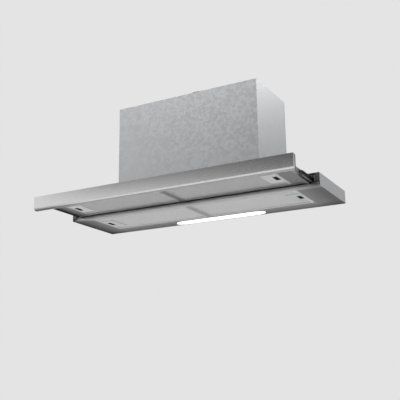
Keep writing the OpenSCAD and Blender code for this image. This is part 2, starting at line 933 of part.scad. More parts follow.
// Sliding bolt of a latch, with the window for a finger
module latch_slider(y0, z0) {
    yc = y0 + filter_d/2;
    difference() {
        union() {
            slab(sld_x0, sld_x1, yc - sld_half, yc + sld_half,
                z0 + sld_z, z0 + sld_z + slider_t);
            slab(sld_x1 - eps, fil_x1 + tongue_reach, yc - tongue_w/2,
                yc + tongue_w/2, z0 + sld_z, z0 + sld_z + slider_t);
        }
        slab(win_x0, win_x1, yc - slot_l/2 + fit, yc + slot_l/2 - fit,
            z0, z0 + filter_h);
    }
}

// Bowed leaf behind the slider
module latch_spring(y0, z0) {
    yc = y0 + filter_d/2;
    x0 = lat_x0 + latch_wall + fit;
    x1 = sld_x0 - fit;
    l = sld_half*spring_share;
    n = spring_steps;
    inner = [for (i = [-n:n]) [x0 + (x1 - x0 - spring_t)*cos(90*i/n), l*i/n]];
    outer = [for (i = [n:-1:-n]) [x0 + spring_t + (x1 - x0 - spring_t)*cos(90*i/n), l*i/n]];
    translate([0, yc, z0 + sld_z + fit])
        linear_extrude(height = slider_t - 2*fit)
            polygon(concat(inner, outer));
}

module rear_frame(left) {
    color("silver") placed() on_side(left) filter_frame(rear_y0, z_body);
}
module front_frame(left) {
    color("silver") placed() on_side(left) filter_frame(front_y0, vis_panel);
}
module rear_mesh(left) {
    color("darkgray") placed() on_side(left) filter_mesh(rear_y0, z_body);
}
module front_mesh(left) {
    color("darkgray") placed() on_side(left) filter_mesh(front_y0, vis_panel);
}
module rear_latch(left) {
    color("lightgray") placed() on_side(left) latch_body(rear_y0, z_body);
}
module front_latch(left) {
    color("lightgray") placed() on_side(left) latch_body(front_y0, vis_panel);
}
module rear_slider(left) {
    color("dimgray") placed() on_side(left) latch_slider(rear_y0, z_body);
}
module front_slider(left) {
    color("dimgray") placed() on_side(left) latch_slider(front_y0, vis_panel);
}
module rear_spring(left) {
    color("white") placed() on_side(left) latch_spring(rear_y0, z_body);
}
module front_spring(left) {
    color("white") placed() on_side(left) latch_spring(front_y0, vis_panel);
}

module led_diffuser() {
    color("white") placed()
        translate([led_x, led_y, z_body - led_drop])
            linear_extrude(height = led_drop + sheet + fit)
                light_area(0);
}

module led_board() {
    color("white") placed()
        translate([led_x, led_y, z_plate + 2*fit])
            linear_extrude(height = sheet)
                light_area(-led_w/4);
}

module led_tray() {
    side = 2*sheet;
    h = lip_h - 2*sheet;
    color("whitesmoke") placed()
        translate([led_x, led_y, z_plate])
            difference() {
                linear_extrude(height = h)
                    light_area(side + fit);
                translate([0, 0, -sheet])
                    linear_extrude(height = h)
                        light_area(fit);
            }
}

module visor_frame() {
    color("silver") placed() {
        difference() {
            union() {
                // Underside with its turned walls
                slab(-vis_x + rim_w, vis_x - rim_w, strip_t, vis_y1,
                    vis_panel, vis_panel + sheet);
                slab(-vis_x, vis_x, strip_t, strip_t + sheet, vis_z0, vis_z1);
                slab(-vis_x, vis_x, vis_y1 - sheet, vis_y1, vis_z0, vis_z1);
                slab(-vis_x, vis_x, strip_t, strip_t + deck_d,
                    vis_z1 - sheet, vis_z1);
                both_sides() {
                    slab(vis_x - sheet, vis_x, strip_t, arm_y1, vis_z0, vis_z1);
                    slab(vis_x - rim_w, vis_x, strip_t, vis_y1,
                        vis_z0, vis_z0 + sheet);
                    slab(vis_x - rim_w, vis_x - rim_w + sheet, strip_t, vis_y1,
                        vis_z0, vis_panel + sheet);
                }
            }
            both_sides()
                filter_hole(front_y0, vis_panel);
            slab(switch_x - fit, switch_x + switch_l + fit, switch_y0 - fit,
                switch_y0 + switch_d + fit, vis_z1 - 2*sheet, vis_z1 + sheet);
            at_strip()
                rod_y(0, strip_t - sheet, strip_t + 2*sheet, 0,
                    screw_r + pin_gap, fn_small);
        }
    }
}

// Places of the screws that hold the strip
module at_strip() {
    for (s = [-1, -strip_hole_share, strip_hole_share, 1])
        translate([s*(vis_x - 2*rim_w), 0, (vis_panel + 2*vis_z1)/3])
            children();
}

// Section of the strip in Y and Z, set in by w
function strip_outline(w) =
    let (r = max(strip_corner - w, fit))
        concat([[w, strip_h - w], [w, bevel_h + w*bevel_share],
            [bevel_d + w*bevel_share, w], [strip_t - w, w]],
            [for (i = [0:corner_steps])
                let (a = 90*i/corner_steps)
                    [strip_t - w - r + r*cos(a), strip_h - w - r + r*sin(a)]]);

// Draws a section in Y and Z along X
module along_x(x0, x1) {
    translate([x0, 0, 0])
        rotate([90, 0, 90])
            linear_extrude(height = x1 - x0)
                children();
}

// Part of a section that lies between two depths
module between(y0, y1) {
    intersection() {
        children();
        translate([y0, -strip_h])
            square([y1 - y0, 3*strip_h]);
    }
}

module front_strip() {
    color("silver") placed()
        difference() {
            union() {
                along_x(-half_w + cap_t, half_w - cap_t)
                    difference() {
                        polygon(strip_outline(0));
                        polygon(strip_outline(strip_wall));
                    }
                both_sides()
                    along_x(half_w - cap_t - eps, half_w)
                        between(0, strip_t - cap_d)
                            polygon(strip_outline(0));
            }
            at_strip()
                rod_y(0, strip_t - 2*strip_wall, strip_t + strip_wall, 0,
                    screw_r + pin_gap, fn_small);
        }
}

// Cap behind the folded end of the steel, with its plug
module strip_cap(left) {
    color("darkgray") placed() on_side(left) {
        along_x(half_w - cap_t + fit, half_w)
            between(strip_t - cap_d + fit, strip_t)
                polygon(strip_outline(0));
        along_x(half_w - cap_t - cap_plug, half_w - cap_t + fit + eps)
            between(strip_t - cap_d + fit, strip_t)
                difference() {
                    polygon(strip_outline(strip_wall + fit));
                    polygon(strip_outline(2*strip_wall + fit));
                }
    }
}

module switch_housing() {
    color("black") placed()
        difference() {
            union() {
                slab(switch_x, switch_x + switch_l, switch_y0, switch_y0 + switch_d,
                    switch_z0, switch_z1);
                slab(switch_x - sheet, switch_x + switch_l + sheet, switch_y0,
                    switch_y0 + switch_d + sheet, vis_z1, vis_z1 + sheet);
            }
            for (i = [0, 1])
                rocker_at(i) {
                    slab(-rock_l/2 - fit, rock_l/2 + fit, -rock_d/2 - fit,
                        rock_d/2 + fit, switch_z0 + sheet - rock_z, switch_h);
                    rod_y(0, -rock_d/2 - sheet, rock_d/2 + sheet, 0,
                        rock_pin + pin_gap, fn_small);
                }
        }
}

module rocker_at(i) {
    translate([switch_x + sheet + fit + rock_l/2 + i*(rock_l + sheet + 2*fit),
        switch_y0 + switch_d/2, rock_z])
        children();
}

// Rocker that tips about an axle from front to back
module rocker() {
    top = switch_z1 - rock_z + fit;
    w = rock_l/2 - fit;
    tip = top + sheet/2;
    union() {
        translate([0, rock_d/2, 0])
            rotate([90, 0, 0])
                linear_extrude(height = rock_d)
                    polygon([[-w, top - sheet], [-w, tip], [0, top], [w, tip],
                        [w, top - sheet], [rock_pin*2, -rock_pin],
                        [-rock_pin*2, -rock_pin]]);
        rod_y(0, -rock_d/2 - sheet + 2*pin_gap, rock_d/2 + sheet - 2*pin_gap, 0,
            rock_pin, fn_small);
    }
}

module fan_rocker() {
    color("dimgray") placed() rocker_at(0) rocker();
}

module light_rocker() {
    color("dimgray") placed() rocker_at(1) rocker();
}

// Screw along Z with its head below
module screw_up(z_seat, l) {
    rod_z(0, 0, z_seat - head_h, z_seat, head_r, fn_small);
    rod_z(0, 0, z_seat - eps, z_seat + l, screw_r, fn_small);
}

module housing_screws() {
    color("silver") placed()
        at_feet()
            screw_up(z_top - sheet, foot_screw_share*sheet);
}

module fan_screws() {
    color("silver") placed() {
        at_lid()
            screw_up(z_lid - scroll_wall, 3*scroll_wall);
        for (a = arm_degs)
            translate([0, fan_y, fan_h])
                rotate([a, 0, 0]) {
                    rod_x(-scroll_w/2 - sheet - head_h, -scroll_w/2 - sheet, arm_r, 0,
                        head_r, fn_small);
                    rod_x(-scroll_w/2 - sheet - eps, -scroll_w/2 + 2*scroll_wall,
                        arm_r, 0, screw_r, fn_small);
                }
    }
}

module collar_screws() {
    color("silver") placed()
        at_collar() {
            rod_z(0, 0, z_lid + sheet + collar_wall, z_lid + sheet + collar_wall + head_h,
                head_r, fn_small);
            rod_z(0, 0, z_lid - 3*sheet, z_lid + sheet + collar_wall + eps,
                screw_r, fn_small);
        }
}

module visor_screws() {
    color("silver") placed()
        at_strip() {
            rod_y(0, strip_t + sheet, strip_t + sheet + head_h, 0, head_r, fn_small);
            rod_y(0, strip_t - 2*strip_wall, strip_t + sheet + eps, 0,
                screw_r, fn_small);
        }
}

canopy_shell();
bottom_frame();
blower_box();
box_lid();
scroll_housing();
motor();
motor_bracket();
control_box();
control_board();
cable_gland();
duct_collar();
flap_axle();
rail_outer(true);  // rail_outer_left
rail_outer(false);  // rail_outer_right
led_tray();
led_board();
led_diffuser();
rear_frame(true);  // rear_filter_frame_left
rear_frame(false);  // rear_filter_frame_right
rear_mesh(true);  // rear_filter_mesh_left
rear_mesh(false);  // rear_filter_mesh_right
rear_latch(true);  // rear_latch_body_left
rear_latch(false);  // rear_latch_body_right
rear_spring(true);  // rear_latch_spring_left
rear_spring(false);  // rear_latch_spring_right
housing_screws();
fan_screws();
collar_screws();
rear_slider(true);  // rear_latch_slider_left
rear_slider(false);  // rear_latch_slider_right
impeller();
motor_shaft();
flap_front();
flap_rear();
ball_cage(true);  // ball_cage_left
ball_cage(false);  // ball_cage_right
rail_balls(true);  // rail_balls_left
rail_balls(false);  // rail_balls_right
visor_frame();
front_strip();
strip_cap(true);  // strip_cap_left
strip_cap(false);  // strip_cap_right
rail_inner(true);  // rail_inner_left
rail_inner(false);  // rail_inner_right
front_frame(true);  // front_filter_frame_left
front_frame(false);  // front_filter_frame_right
front_mesh(true);  // front_filter_mesh_left
front_mesh(false);  // front_filter_mesh_right
front_latch(true);  // front_latch_body_left
front_latch(false);  // front_latch_body_right
front_spring(true);  // front_latch_spring_left
front_spring(false);  // front_latch_spring_right
front_slider(true);  // front_latch_slider_left
front_slider(false);  // front_latch_slider_right
switch_housing();
fan_rocker();
light_rocker();
visor_screws();
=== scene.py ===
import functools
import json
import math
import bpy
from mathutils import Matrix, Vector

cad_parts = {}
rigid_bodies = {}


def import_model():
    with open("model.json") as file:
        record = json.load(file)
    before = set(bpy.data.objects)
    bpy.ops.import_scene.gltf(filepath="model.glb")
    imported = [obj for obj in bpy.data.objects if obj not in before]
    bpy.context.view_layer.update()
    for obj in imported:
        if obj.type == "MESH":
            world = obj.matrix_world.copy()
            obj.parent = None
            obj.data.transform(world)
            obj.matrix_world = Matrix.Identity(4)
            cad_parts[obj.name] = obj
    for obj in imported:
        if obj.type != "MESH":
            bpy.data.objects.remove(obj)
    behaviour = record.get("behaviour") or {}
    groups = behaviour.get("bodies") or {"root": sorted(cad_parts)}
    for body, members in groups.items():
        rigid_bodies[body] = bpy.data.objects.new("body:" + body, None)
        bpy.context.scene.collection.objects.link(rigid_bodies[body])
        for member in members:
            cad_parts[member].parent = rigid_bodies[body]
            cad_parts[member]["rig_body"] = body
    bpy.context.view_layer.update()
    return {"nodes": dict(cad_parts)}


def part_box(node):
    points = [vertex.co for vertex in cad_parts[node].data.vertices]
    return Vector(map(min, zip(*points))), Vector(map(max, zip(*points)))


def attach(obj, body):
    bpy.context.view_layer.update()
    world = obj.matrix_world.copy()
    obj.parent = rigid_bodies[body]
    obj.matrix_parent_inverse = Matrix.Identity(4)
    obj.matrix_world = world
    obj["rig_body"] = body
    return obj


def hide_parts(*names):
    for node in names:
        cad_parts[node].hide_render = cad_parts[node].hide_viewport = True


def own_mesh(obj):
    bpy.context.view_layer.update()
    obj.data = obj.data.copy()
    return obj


bl_info = {
    "name": "Telescopic cooker hood",
    "version": (1, 0, 0),
    "blender": (4, 5, 0),
    "location": "View3D > Sidebar > Cooker hood",
    "description": "Builds the visible pieces and finishes of a drawn-out cooker hood",
    "category": "Add Mesh",
}

import bmesh
import bpy
from mathutils import Matrix, Vector

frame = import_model()
MM = 0.001
SIDES = ("left", "right")
ROWS = ("front", "rear")


def linear(code):
    """Linear colour of an sRGB hex value, by that standard's curve."""
    parts = [int(code[i : i + 2], 16) / 255 for i in (1, 3, 5)]
    return [p / 12.92 if p <= 0.04045 else ((p + 0.055) / 1.055) ** 2.4 for p in parts] + [1.0]


# ---------------------------------------------------------------- settings


class HoodSizes(bpy.types.PropertyGroup):
    """Small sizes that the pieces are finished with"""

    edge: bpy.props.FloatProperty(
        name="Folded edge", description="Radius of the steel's folded and cut edges",
        default=0.35 * MM, unit="LENGTH")
    strip_edge: bpy.props.FloatProperty(
        name="Strip edge", description="Radius along the edges of the front strip",
        default=0.5 * MM, unit="LENGTH")
    cell_long: bpy.props.FloatProperty(
        name="Mesh cell length", description="Long way of a diamond in the expanded mesh",
        default=9.0 * MM, unit="LENGTH")
    cell_short: bpy.props.FloatProperty(
        name="Mesh cell width", description="Short way of a diamond in the expanded mesh",
        default=5.0 * MM, unit="LENGTH")
    strand: bpy.props.FloatProperty(
        name="Mesh strand", description="Width of a strand of the expanded mesh",
        default=1.4 * MM, unit="LENGTH")
    foil: bpy.props.FloatProperty(
        name="Mesh thickness", description="Thickness of the expanded mesh and of the folded pack",
        default=0.4 * MM, unit="LENGTH")
    fold: bpy.props.FloatProperty(
        name="Fold pitch", description="Distance between the folds of the filter pack",
        default=12.0 * MM, unit="LENGTH")


class HoodColours(bpy.types.PropertyGroup):
    """Colours of the hood's finishes"""

    strip: bpy.props.FloatVectorProperty(
        name="Strip steel", description="Brushed stainless steel of the front strip",
        subtype="COLOR", size=4, min=0, max=1, default=linear("#D2D2D2"))
    body: bpy.props.FloatVectorProperty(
        name="Body steel", description="Brushed stainless steel of the undersides",
        subtype="COLOR", size=4, min=0, max=1, default=linear("#D9D9D9"))
    cassette: bpy.props.FloatVectorProperty(
        name="Cassette steel", description="Brushed stainless steel of the filter cassettes",
        subtype="COLOR", size=4, min=0, max=1, default=linear("#BDBDBD"))
    mesh: bpy.props.FloatVectorProperty(
        name="Filter aluminium", description="Expanded aluminium of the grease filters",
        subtype="COLOR", size=4, min=0, max=1, default=linear("#DADADB"))
    zinc: bpy.props.FloatVectorProperty(
        name="Galvanised steel", description="Zinc coated sheet of the casing",
        subtype="COLOR", size=4, min=0, max=1, default=linear("#C0C2C4"))
    cap: bpy.props.FloatVectorProperty(
        name="End caps", description="Grey moulded plastic of the strip's end caps",
        subtype="COLOR", size=4, min=0, max=1, default=linear("#4C4C4D"))
    latch: bpy.props.FloatVectorProperty(
        name="Latch plates", description="Silver moulded plastic of the filter latches",
        subtype="COLOR", size=4, min=0, max=1, default=linear("#B7B8B9"))
    moulding: bpy.props.FloatVectorProperty(
        name="Dark moulding", description="Dark moulded plastic",
        subtype="COLOR", size=4, min=0, max=1, default=linear("#2B2B2D"))
    light: bpy.props.FloatVectorProperty(
        name="Light", description="Colour of the lit diffuser",
        subtype="COLOR", size=4, min=0, max=1, default=linear("#FFFFFF"))


def sizes():
    """The sizes set in the sidebar."""
    return bpy.context.scene.hood_sizes


def colours():
    """The colours set in the sidebar."""
    return bpy.context.scene.hood_colours


# ---------------------------------------------------------------- making a material

# Inputs that share a name are given by number. MapRange takes a value 0, its range 1 and 2,
# and the new range 3 and 4. Mix takes a factor 0, numbers 2 and 3, and colours 6 and 7.
# VectorMath takes vectors 0 and 1, and a scale 3.

# Noise seldom leaves this range, which is spread over the whole of a new one.
NOISE = {1: 0.3, 2: 0.7}

# Length and width of the marks of the brushing belt: its fine lines, and its wider streaks.
LINE = (60 * MM, 0.35 * MM)
STREAK = (200 * MM, 1.6 * MM)


def first_output(node):
    """The first live output of a node."""
    return next(out for out in node.outputs if out.enabled)


def add_node(tree, kind, inputs=None, **fields):
    """Adds a node, sets its fields, and sets or links its inputs. A node that is given for an
    input is linked by its first live output."""
    new = tree.nodes.new("ShaderNode" + kind)
    for field, value in fields.items():
        setattr(new, field, value)
    for key, value in (inputs or {}).items():
        if isinstance(value, bpy.types.Node):
            value = first_output(value)
        if isinstance(value, bpy.types.NodeSocket):
            tree.links.new(value, new.inputs[key])
        else:
            new.inputs[key].default_value = value
    return new


def tone(colour, share):
    """The colour made darker or lighter by a share."""
    return [min(1.0, c * share) for c in colour[:3]] + [1.0]


def once(build):
    """Lets a material's function give the one that is there when a name is asked for again."""

    @functools.wraps(build)
    def known_or_new(name, *values, **named):
        return bpy.data.materials.get(name) or build(name, *values, **named)

    return known_or_new


def finish(name, inputs):
    """A new material with its shader and the coordinates that patterns read."""
    material = bpy.data.materials.new(name)
    material.use_nodes = True
    tree = material.node_tree
    tree.nodes.clear()
    shader = add_node(tree, "BsdfPrincipled", inputs)
    add_node(tree, "OutputMaterial", {"Surface": shader})
    at = add_node(tree, "TexCoord").outputs["Object"]
    return material, tree, shader, at


def join(tree, shader, colour, roughness, height, depth, strength):
    """Links a material's patterns to its shader. The depth of the relief is in metres."""
    bump = add_node(tree, "Bump", {"Height": height, "Distance": depth, "Strength": strength})
    for key, made in (("Base Color", colour), ("Roughness", roughness), ("Normal", bump)):
        tree.links.new(first_output(made), shader.inputs[key])


@once
def brushed(name, colour, roughness, shade, contrast=0.03, edge=1.0):
    """Stainless steel brushed along the hood with a fine belt: long thin lines that blur what
    it reflects across them. The belt's 0.1 mm lines are drawn 0.35 mm wide, so that they
    show. The edge is the share of its reflectance at a glancing angle."""
    tint = [edge, edge, edge, 1.0]
    material, tree, shader, at = finish(name, {"Metallic": 1.0, "Specular Tint": tint})
    fine, coarse = [(1 / long, 1 / wide, 1 / wide) for long, wide in (LINE, STREAK)]
    belt = add_node(tree, "Mapping", {"Vector": at, "Scale": fine})
    lines = add_node(tree, "TexNoise", {"Vector": belt, "Scale": 1.0, "Detail": 4.0})
    broad = add_node(tree, "Mapping", {"Vector": at, "Scale": coarse})
    streaks = add_node(tree, "TexNoise", {"Vector": broad, "Scale": 1.0, "Detail": 2.0})
    cloud = add_node(tree, "TexNoise", {"Vector": at, "Scale": 1 / (160 * MM), "Detail": 1.0})
    mixed = add_node(tree, "Mix", {0: 0.2, 2: lines, 3: streaks})
    dark, light = tone(colour, 1 - contrast), tone(colour, 1 + contrast)
    grain = add_node(tree, "MapRange", {0: mixed, **NOISE, 3: 0.0, 4: 1.0})
    steel = add_node(tree, "Mix", {0: grain, 6: dark, 7: light}, data_type="RGBA")
    faint = add_node(tree, "MapRange", {0: cloud, **NOISE, 3: 0.0, 4: 0.3})
    steel = add_node(tree, "Mix", {0: faint, 6: steel, 7: dark}, data_type="RGBA")
    # The shade paints light and shade into the steel's colour.
    steel = add_node(tree, "VectorMath", {0: steel, 3: shade(tree, at)}, operation="SCALE")
    low, high = roughness - 0.04, roughness + 0.05
    gloss = add_node(tree, "MapRange", {0: mixed, **NOISE, 3: low, 4: high})
    join(tree, shader, steel, gloss, lines, 0.012 * MM, 0.3)
    return material


@once
def galvanised(name, colour, shade=None):
    """Hot dip galvanised sheet: flat grey crystals, 9 mm wide with wavy edges, each with its
    own shade and gloss."""
    material, tree, shader, at = finish(name, {"Metallic": 1.0})
    bend = add_node(tree, "TexNoise", {"Vector": at, "Scale": 1 / (14 * MM), "Detail": 2.0})
    shift = add_node(tree, "VectorMath", {0: bend, 3: 5 * MM}, operation="SCALE")
    moved = add_node(tree, "VectorMath", {0: at, 1: shift}, operation="ADD")
    cells = add_node(tree, "TexVoronoi", {"Vector": moved, "Scale": 1 / (9 * MM)})
    crystal = add_node(tree, "SeparateColor", {0: cells.outputs["Color"]})
    dull, bright = tone(colour, 0.96), tone(colour, 1.02)
    zinc = add_node(tree, "Mix", {0: crystal, 6: dull, 7: bright}, data_type="RGBA")
    if shade:
        # The shade paints shade into the zinc's colour.
        zinc = add_node(tree, "VectorMath", {0: zinc, 3: shade(tree, at)}, operation="SCALE")
    gloss = add_node(tree, "MapRange", {0: crystal, **NOISE, 3: 0.40, 4: 0.44})
    grain = add_node(tree, "TexNoise", {"Vector": at, "Scale": 1 / (1.5 * MM), "Detail": 3.0})
    join(tree, shader, zinc, gloss, grain, 0.05 * MM, 0.2)
    return material


@once
def smooth_steel(name, colour, roughness):
    """Plated, drawn, ground or polished steel, with faint warm and cool clouds. Its grain is
    drawn 0.8 mm wide, coarser than it is, so that it shows."""
    material, tree, shader, at = finish(name, {"Metallic": 1.0})
    cloud = add_node(tree, "TexNoise", {"Vector": at, "Scale": 1 / (9 * MM), "Detail": 3.0})
    warm = [colour[0] * 1.04, colour[1], colour[2] * 0.93, 1.0]
    cool = [colour[0] * 0.94, colour[1] * 0.98, colour[2] * 1.02, 1.0]
    part = add_node(tree, "MapRange", {0: cloud, **NOISE, 3: 0.0, 4: 1.0})
    steel = add_node(tree, "Mix", {0: part, 6: warm, 7: cool}, data_type="RGBA")
    low, high = roughness - 0.06, roughness + 0.1
    gloss = add_node(tree, "MapRange", {0: cloud, **NOISE, 3: low, 4: high})
    grain = add_node(tree, "TexNoise", {"Vector": at, "Scale": 1 / (0.8 * MM), "Detail": 3.0})
    join(tree, shader, steel, gloss, grain, 0.02 * MM, 0.3)
    return material


@once
def rolled_aluminium(name, colour, roughness):
    """Rolled and expanded aluminium foil: a little crinkled, with dull and bright strands."""
    material, tree, shader, at = finish(name, {"Metallic": 1.0})
    patch = add_node(tree, "TexNoise", {"Vector": at, "Scale": 1 / (5 * MM), "Detail": 2.0})
    part = add_node(tree, "MapRange", {0: patch, **NOISE, 3: 0.0, 4: 1.0})
    dull, bright = tone(colour, 0.88), tone(colour, 1.06)
    foil = add_node(tree, "Mix", {0: part, 6: dull, 7: bright}, data_type="RGBA")
    # The foil carries the filters' painted shade.
    foil = add_node(tree, "VectorMath", {0: foil, 3: painted_filter_shade(tree, at)}, operation="SCALE")
    gloss = add_node(tree, "MapRange", {0: patch, **NOISE, 3: roughness, 4: roughness + 0.14})
    crease = add_node(tree, "TexNoise", {"Vector": at, "Scale": 1 / (1.2 * MM), "Detail": 3.0})
    join(tree, shader, foil, gloss, crease, 0.08 * MM, 0.4)
    return material


@once
def grained(name, colour, roughness, grain=0.6 * MM, depth=0.05 * MM, contrast=0.08):
    """Moulded plastic, lacquer or paint, with a fine grain that softens its gloss. The pits of
    the moulded grain, about 0.2 mm wide, are drawn 0.6 mm wide, so that they show."""
    material, tree, shader, at = finish(name, {"IOR": 1.5})
    cloud = add_node(tree, "TexNoise", {"Vector": at, "Scale": 1 / (25 * MM), "Detail": 2.0})
    part = add_node(tree, "MapRange", {0: cloud, **NOISE, 3: 0.0, 4: 1.0})
    dark, light = tone(colour, 1 - contrast), tone(colour, 1 + contrast)
    resin = add_node(tree, "Mix", {0: part, 6: dark, 7: light}, data_type="RGBA")
    low, high = roughness - 0.05, roughness + 0.06
    gloss = add_node(tree, "MapRange", {0: cloud, **NOISE, 3: low, 4: high})
    pits = add_node(tree, "TexNoise", {"Vector": at, "Scale": 1 / grain, "Detail": 3.0})
    join(tree, shader, resin, gloss, pits, depth, 0.5)
    return material


@once
def opal(name, colour, strength):
    """Opal acrylic lit from behind, with faint clouds."""
    lit = {"IOR": 1.49, "Roughness": 0.35, "Emission Strength": strength}
    material, tree, shader, at = finish(name, lit)
    cloud = add_node(tree, "TexNoise", {"Vector": at, "Scale": 1 / (40 * MM), "Detail": 1.0})
    part = add_node(tree, "MapRange", {0: cloud, **NOISE, 3: 0.0, 4: 1.0})
    milk = add_node(tree, "Mix", {0: part, 6: tone(colour, 0.97), 7: colour}, data_type="RGBA")
    for key in ("Base Color", "Emission Color"):
        tree.links.new(first_output(milk), shader.inputs[key])
    return material


# ---------------------------------------------------------------- painted light and shade

# A shade is painted light and shade: the share of a finish's own brightness at each place on a
# piece.


def span(start, stop):
    """The range of a MapRange, from places in millimetres in the shared frame."""
    return {1: start * MM, 2: stop * MM}


# The front strip's painted shade.
STRIP_FACE_UP = span(-40, -2)
STRIP_SHADE_ACROSS = span(-430, -120)
SLOPE_UP = span(-44, -37.5)
SLOPE_EDGE_UP = span(-43.2, -41.7)
SLOPE_END_ACROSS = span(-390, -260)
# The visor's underside and right wall, for their painted shade and light.
VISOR_BAR_OUTWARDS = span(10, 30)
VISOR_LEFT_ACROSS = span(-419, -380)
VISOR_REAR_ALONG = span(-134, -130)
VISOR_WALL_ACROSS = span(418.3, 418.7)
VISOR_WALL_ALONG = span(-310, -180)
# The underside of the body and the hem along its front, for their painted shade and light.
BODY_LEFT_ACROSS = span(-449, -369)
BODY_RIGHT_ACROSS = span(360, 430)
BODY_FRONT_ALONG = span(-106, -100)
BODY_REAR_ALONG = span(65, 120)
HEM_UP = span(-39.4, -35)
HEM_END_ACROSS = span(-440, -400)
HEM_EDGE_UP = span(-40.6, -39.4)
# Painted shade on the filters, the visor's and then the body's, and on the casing's front plates.
ROWS_ALONG = span(-120, -110)
BETWEEN_ROWS = -115 * MM
VISOR_FILTERS_REAR_ALONG = span(-165, -125)
SHADED_ENDS_OUTWARDS = span(11.8, 12.8)
FRONT_PLATES_ALONG = span(-119.6, -118.6)


def painted_strip_shade(tree, at):
    """Painted shade on the strip: its face is painted darker towards its top, most away from its
    left end. The lower slope is painted darker towards that end and along its lower edge."""
    across, _, up = add_node(tree, "SeparateXYZ", {0: at}).outputs
    height = add_node(tree, "MapRange", {0: up, **STRIP_FACE_UP, 3: 1.16, 4: 0.68})
    shade_reach = add_node(tree, "MapRange", {0: across, **STRIP_SHADE_ACROSS, 3: 0.12, 4: 1.0})
    face = add_node(tree, "Mix", {0: shade_reach, 2: 1.08, 3: height})
    slope = add_node(tree, "MapRange", {0: up, **SLOPE_UP, 3: 1.0, 4: 0.0})
    end = add_node(tree, "MapRange", {0: across, **SLOPE_END_ACROSS, 3: 0.25, 4: 1.0})
    edge = add_node(tree, "MapRange", {0: up, **SLOPE_EDGE_UP, 3: 0.42, 4: 1.0})
    low = add_node(tree, "Math", {0: end, 1: edge}, operation="MULTIPLY")
    dull = add_node(tree, "Mix", {0: slope, 2: 1.0, 3: low})
    return add_node(tree, "Math", {0: face, 1: dull}, operation="MULTIPLY")


def painted_visor_shade(tree, at):
    """Painted shade and light on the visor: its underside is painted darker on the bar between
    its filters and towards its left edge, and painted light along its rear edge. Its right
    wall is painted darker towards the body."""
    across, along, _ = add_node(tree, "SeparateXYZ", {0: at}).outputs
    middle = add_node(tree, "Math", {0: across}, operation="ABSOLUTE")
    flat = add_node(tree, "MapRange", {0: middle, **VISOR_BAR_OUTWARDS, 3: 0.36, 4: 0.48})
    left = add_node(tree, "MapRange", {0: across, **VISOR_LEFT_ACROSS, 3: 0.05, 4: 1.0})
    rear = add_node(tree, "MapRange", {0: along, **VISOR_REAR_ALONG, 3: left, 4: 2.0})
    under = add_node(tree, "Math", {0: flat, 1: rear}, operation="MULTIPLY")
    side = add_node(tree, "MapRange", {0: across, **VISOR_WALL_ACROSS, 3: 0.0, 4: 1.0})
    wall = add_node(tree, "MapRange", {0: along, **VISOR_WALL_ALONG, 3: 1.40, 4: 0.30})
    return add_node(tree, "Mix", {0: side, 2: under, 3: wall})


def painted_body_shade(tree, at):
    """Painted shade and light on the body: its underside is painted darker towards its left,
    right and rear edges, and painted light in front of its filters. The hem along its front is
    painted light low down, and painted darker upwards and at its left."""
    across, along, up = add_node(tree, "SeparateXYZ", {0: at}).outputs
    left = add_node(tree, "MapRange", {0: across, **BODY_LEFT_ACROSS, 3: 0.05, 4: 0.60})
    right = add_node(tree, "MapRange", {0: across, **BODY_RIGHT_ACROSS, 3: 1.0, 4: 0.55})
    front = add_node(tree, "MapRange", {0: along, **BODY_FRONT_ALONG, 3: 1.6, 4: 1.0})
    rear = add_node(tree, "MapRange", {0: along, **BODY_REAR_ALONG, 3: front, 4: 0.48})
    sides = add_node(tree, "Math", {0: left, 1: right}, operation="MULTIPLY")
    flat = add_node(tree, "Math", {0: sides, 1: rear}, operation="MULTIPLY")
    height = add_node(tree, "MapRange", {0: up, **HEM_UP, 3: 1.15, 4: 0.55})
    end = add_node(tree, "MapRange", {0: across, **HEM_END_ACROSS, 3: 0.1, 4: 1.0})
    hem = add_node(tree, "Math", {0: height, 1: end}, operation="MULTIPLY")
    edge = add_node(tree, "MapRange", {0: up, **HEM_EDGE_UP, 3: 0.0, 4: 1.0})
    return add_node(tree, "Mix", {0: edge, 2: flat, 3: hem})


def painted_filter_shade(tree, at):
    """Painted shade on the filters: the visor's are painted darker than the body's, most along
    their rear edge.
    """
    along = add_node(tree, "SeparateXYZ", {0: at}).outputs[1]
    row = add_node(tree, "MapRange", {0: along, **ROWS_ALONG, 3: 0.88, 4: 1.07})
    rear = add_node(tree, "MapRange", {0: along, **VISOR_FILTERS_REAR_ALONG, 3: 1.0, 4: 0.72})
    body = add_node(tree, "Math", {0: along, 1: BETWEEN_ROWS}, operation="GREATER_THAN")
    edge = add_node(tree, "Mix", {0: body, 2: rear, 3: 1.0})
    return add_node(tree, "Math", {0: row, 1: edge}, operation="MULTIPLY")


def painted_cassette_shade(tree, at):
    """Painted shade on the cassettes: their inner ends, beside the bar between the filters, are
    painted darker, and they carry the filters' painted shade.
    """
    across, along, _ = add_node(tree, "SeparateXYZ", {0: at}).outputs
    middle = add_node(tree, "Math", {0: across}, operation="ABSOLUTE")
    row = add_node(tree, "MapRange", {0: along, **ROWS_ALONG, 3: 0.55, 4: 0.75})
    end = add_node(tree, "MapRange", {0: middle, **SHADED_ENDS_OUTWARDS, 3: row, 4: 1.0})
    return add_node(tree, "Math", {0: end, 1: painted_filter_shade(tree, at)}, operation="MULTIPLY")


def painted_front_shade(tree, at):
    """Painted shade: the casing's two front plates are painted dark."""
    along = add_node(tree, "SeparateXYZ", {0: at}).outputs[1]
    return add_node(tree, "MapRange", {0: along, **FRONT_PLATES_ALONG, 3: 0.22, 4: 1.0})


# ---------------------------------------------------------------- finishes


def strip_steel():
    """Stainless steel brushed lengthwise with a fine belt: a satin face with long streaks, and
    painted shade on its face and slope.
    """
    return brushed("brushed_strip_steel", colours().strip, 0.27, painted_strip_shade, 0.025)


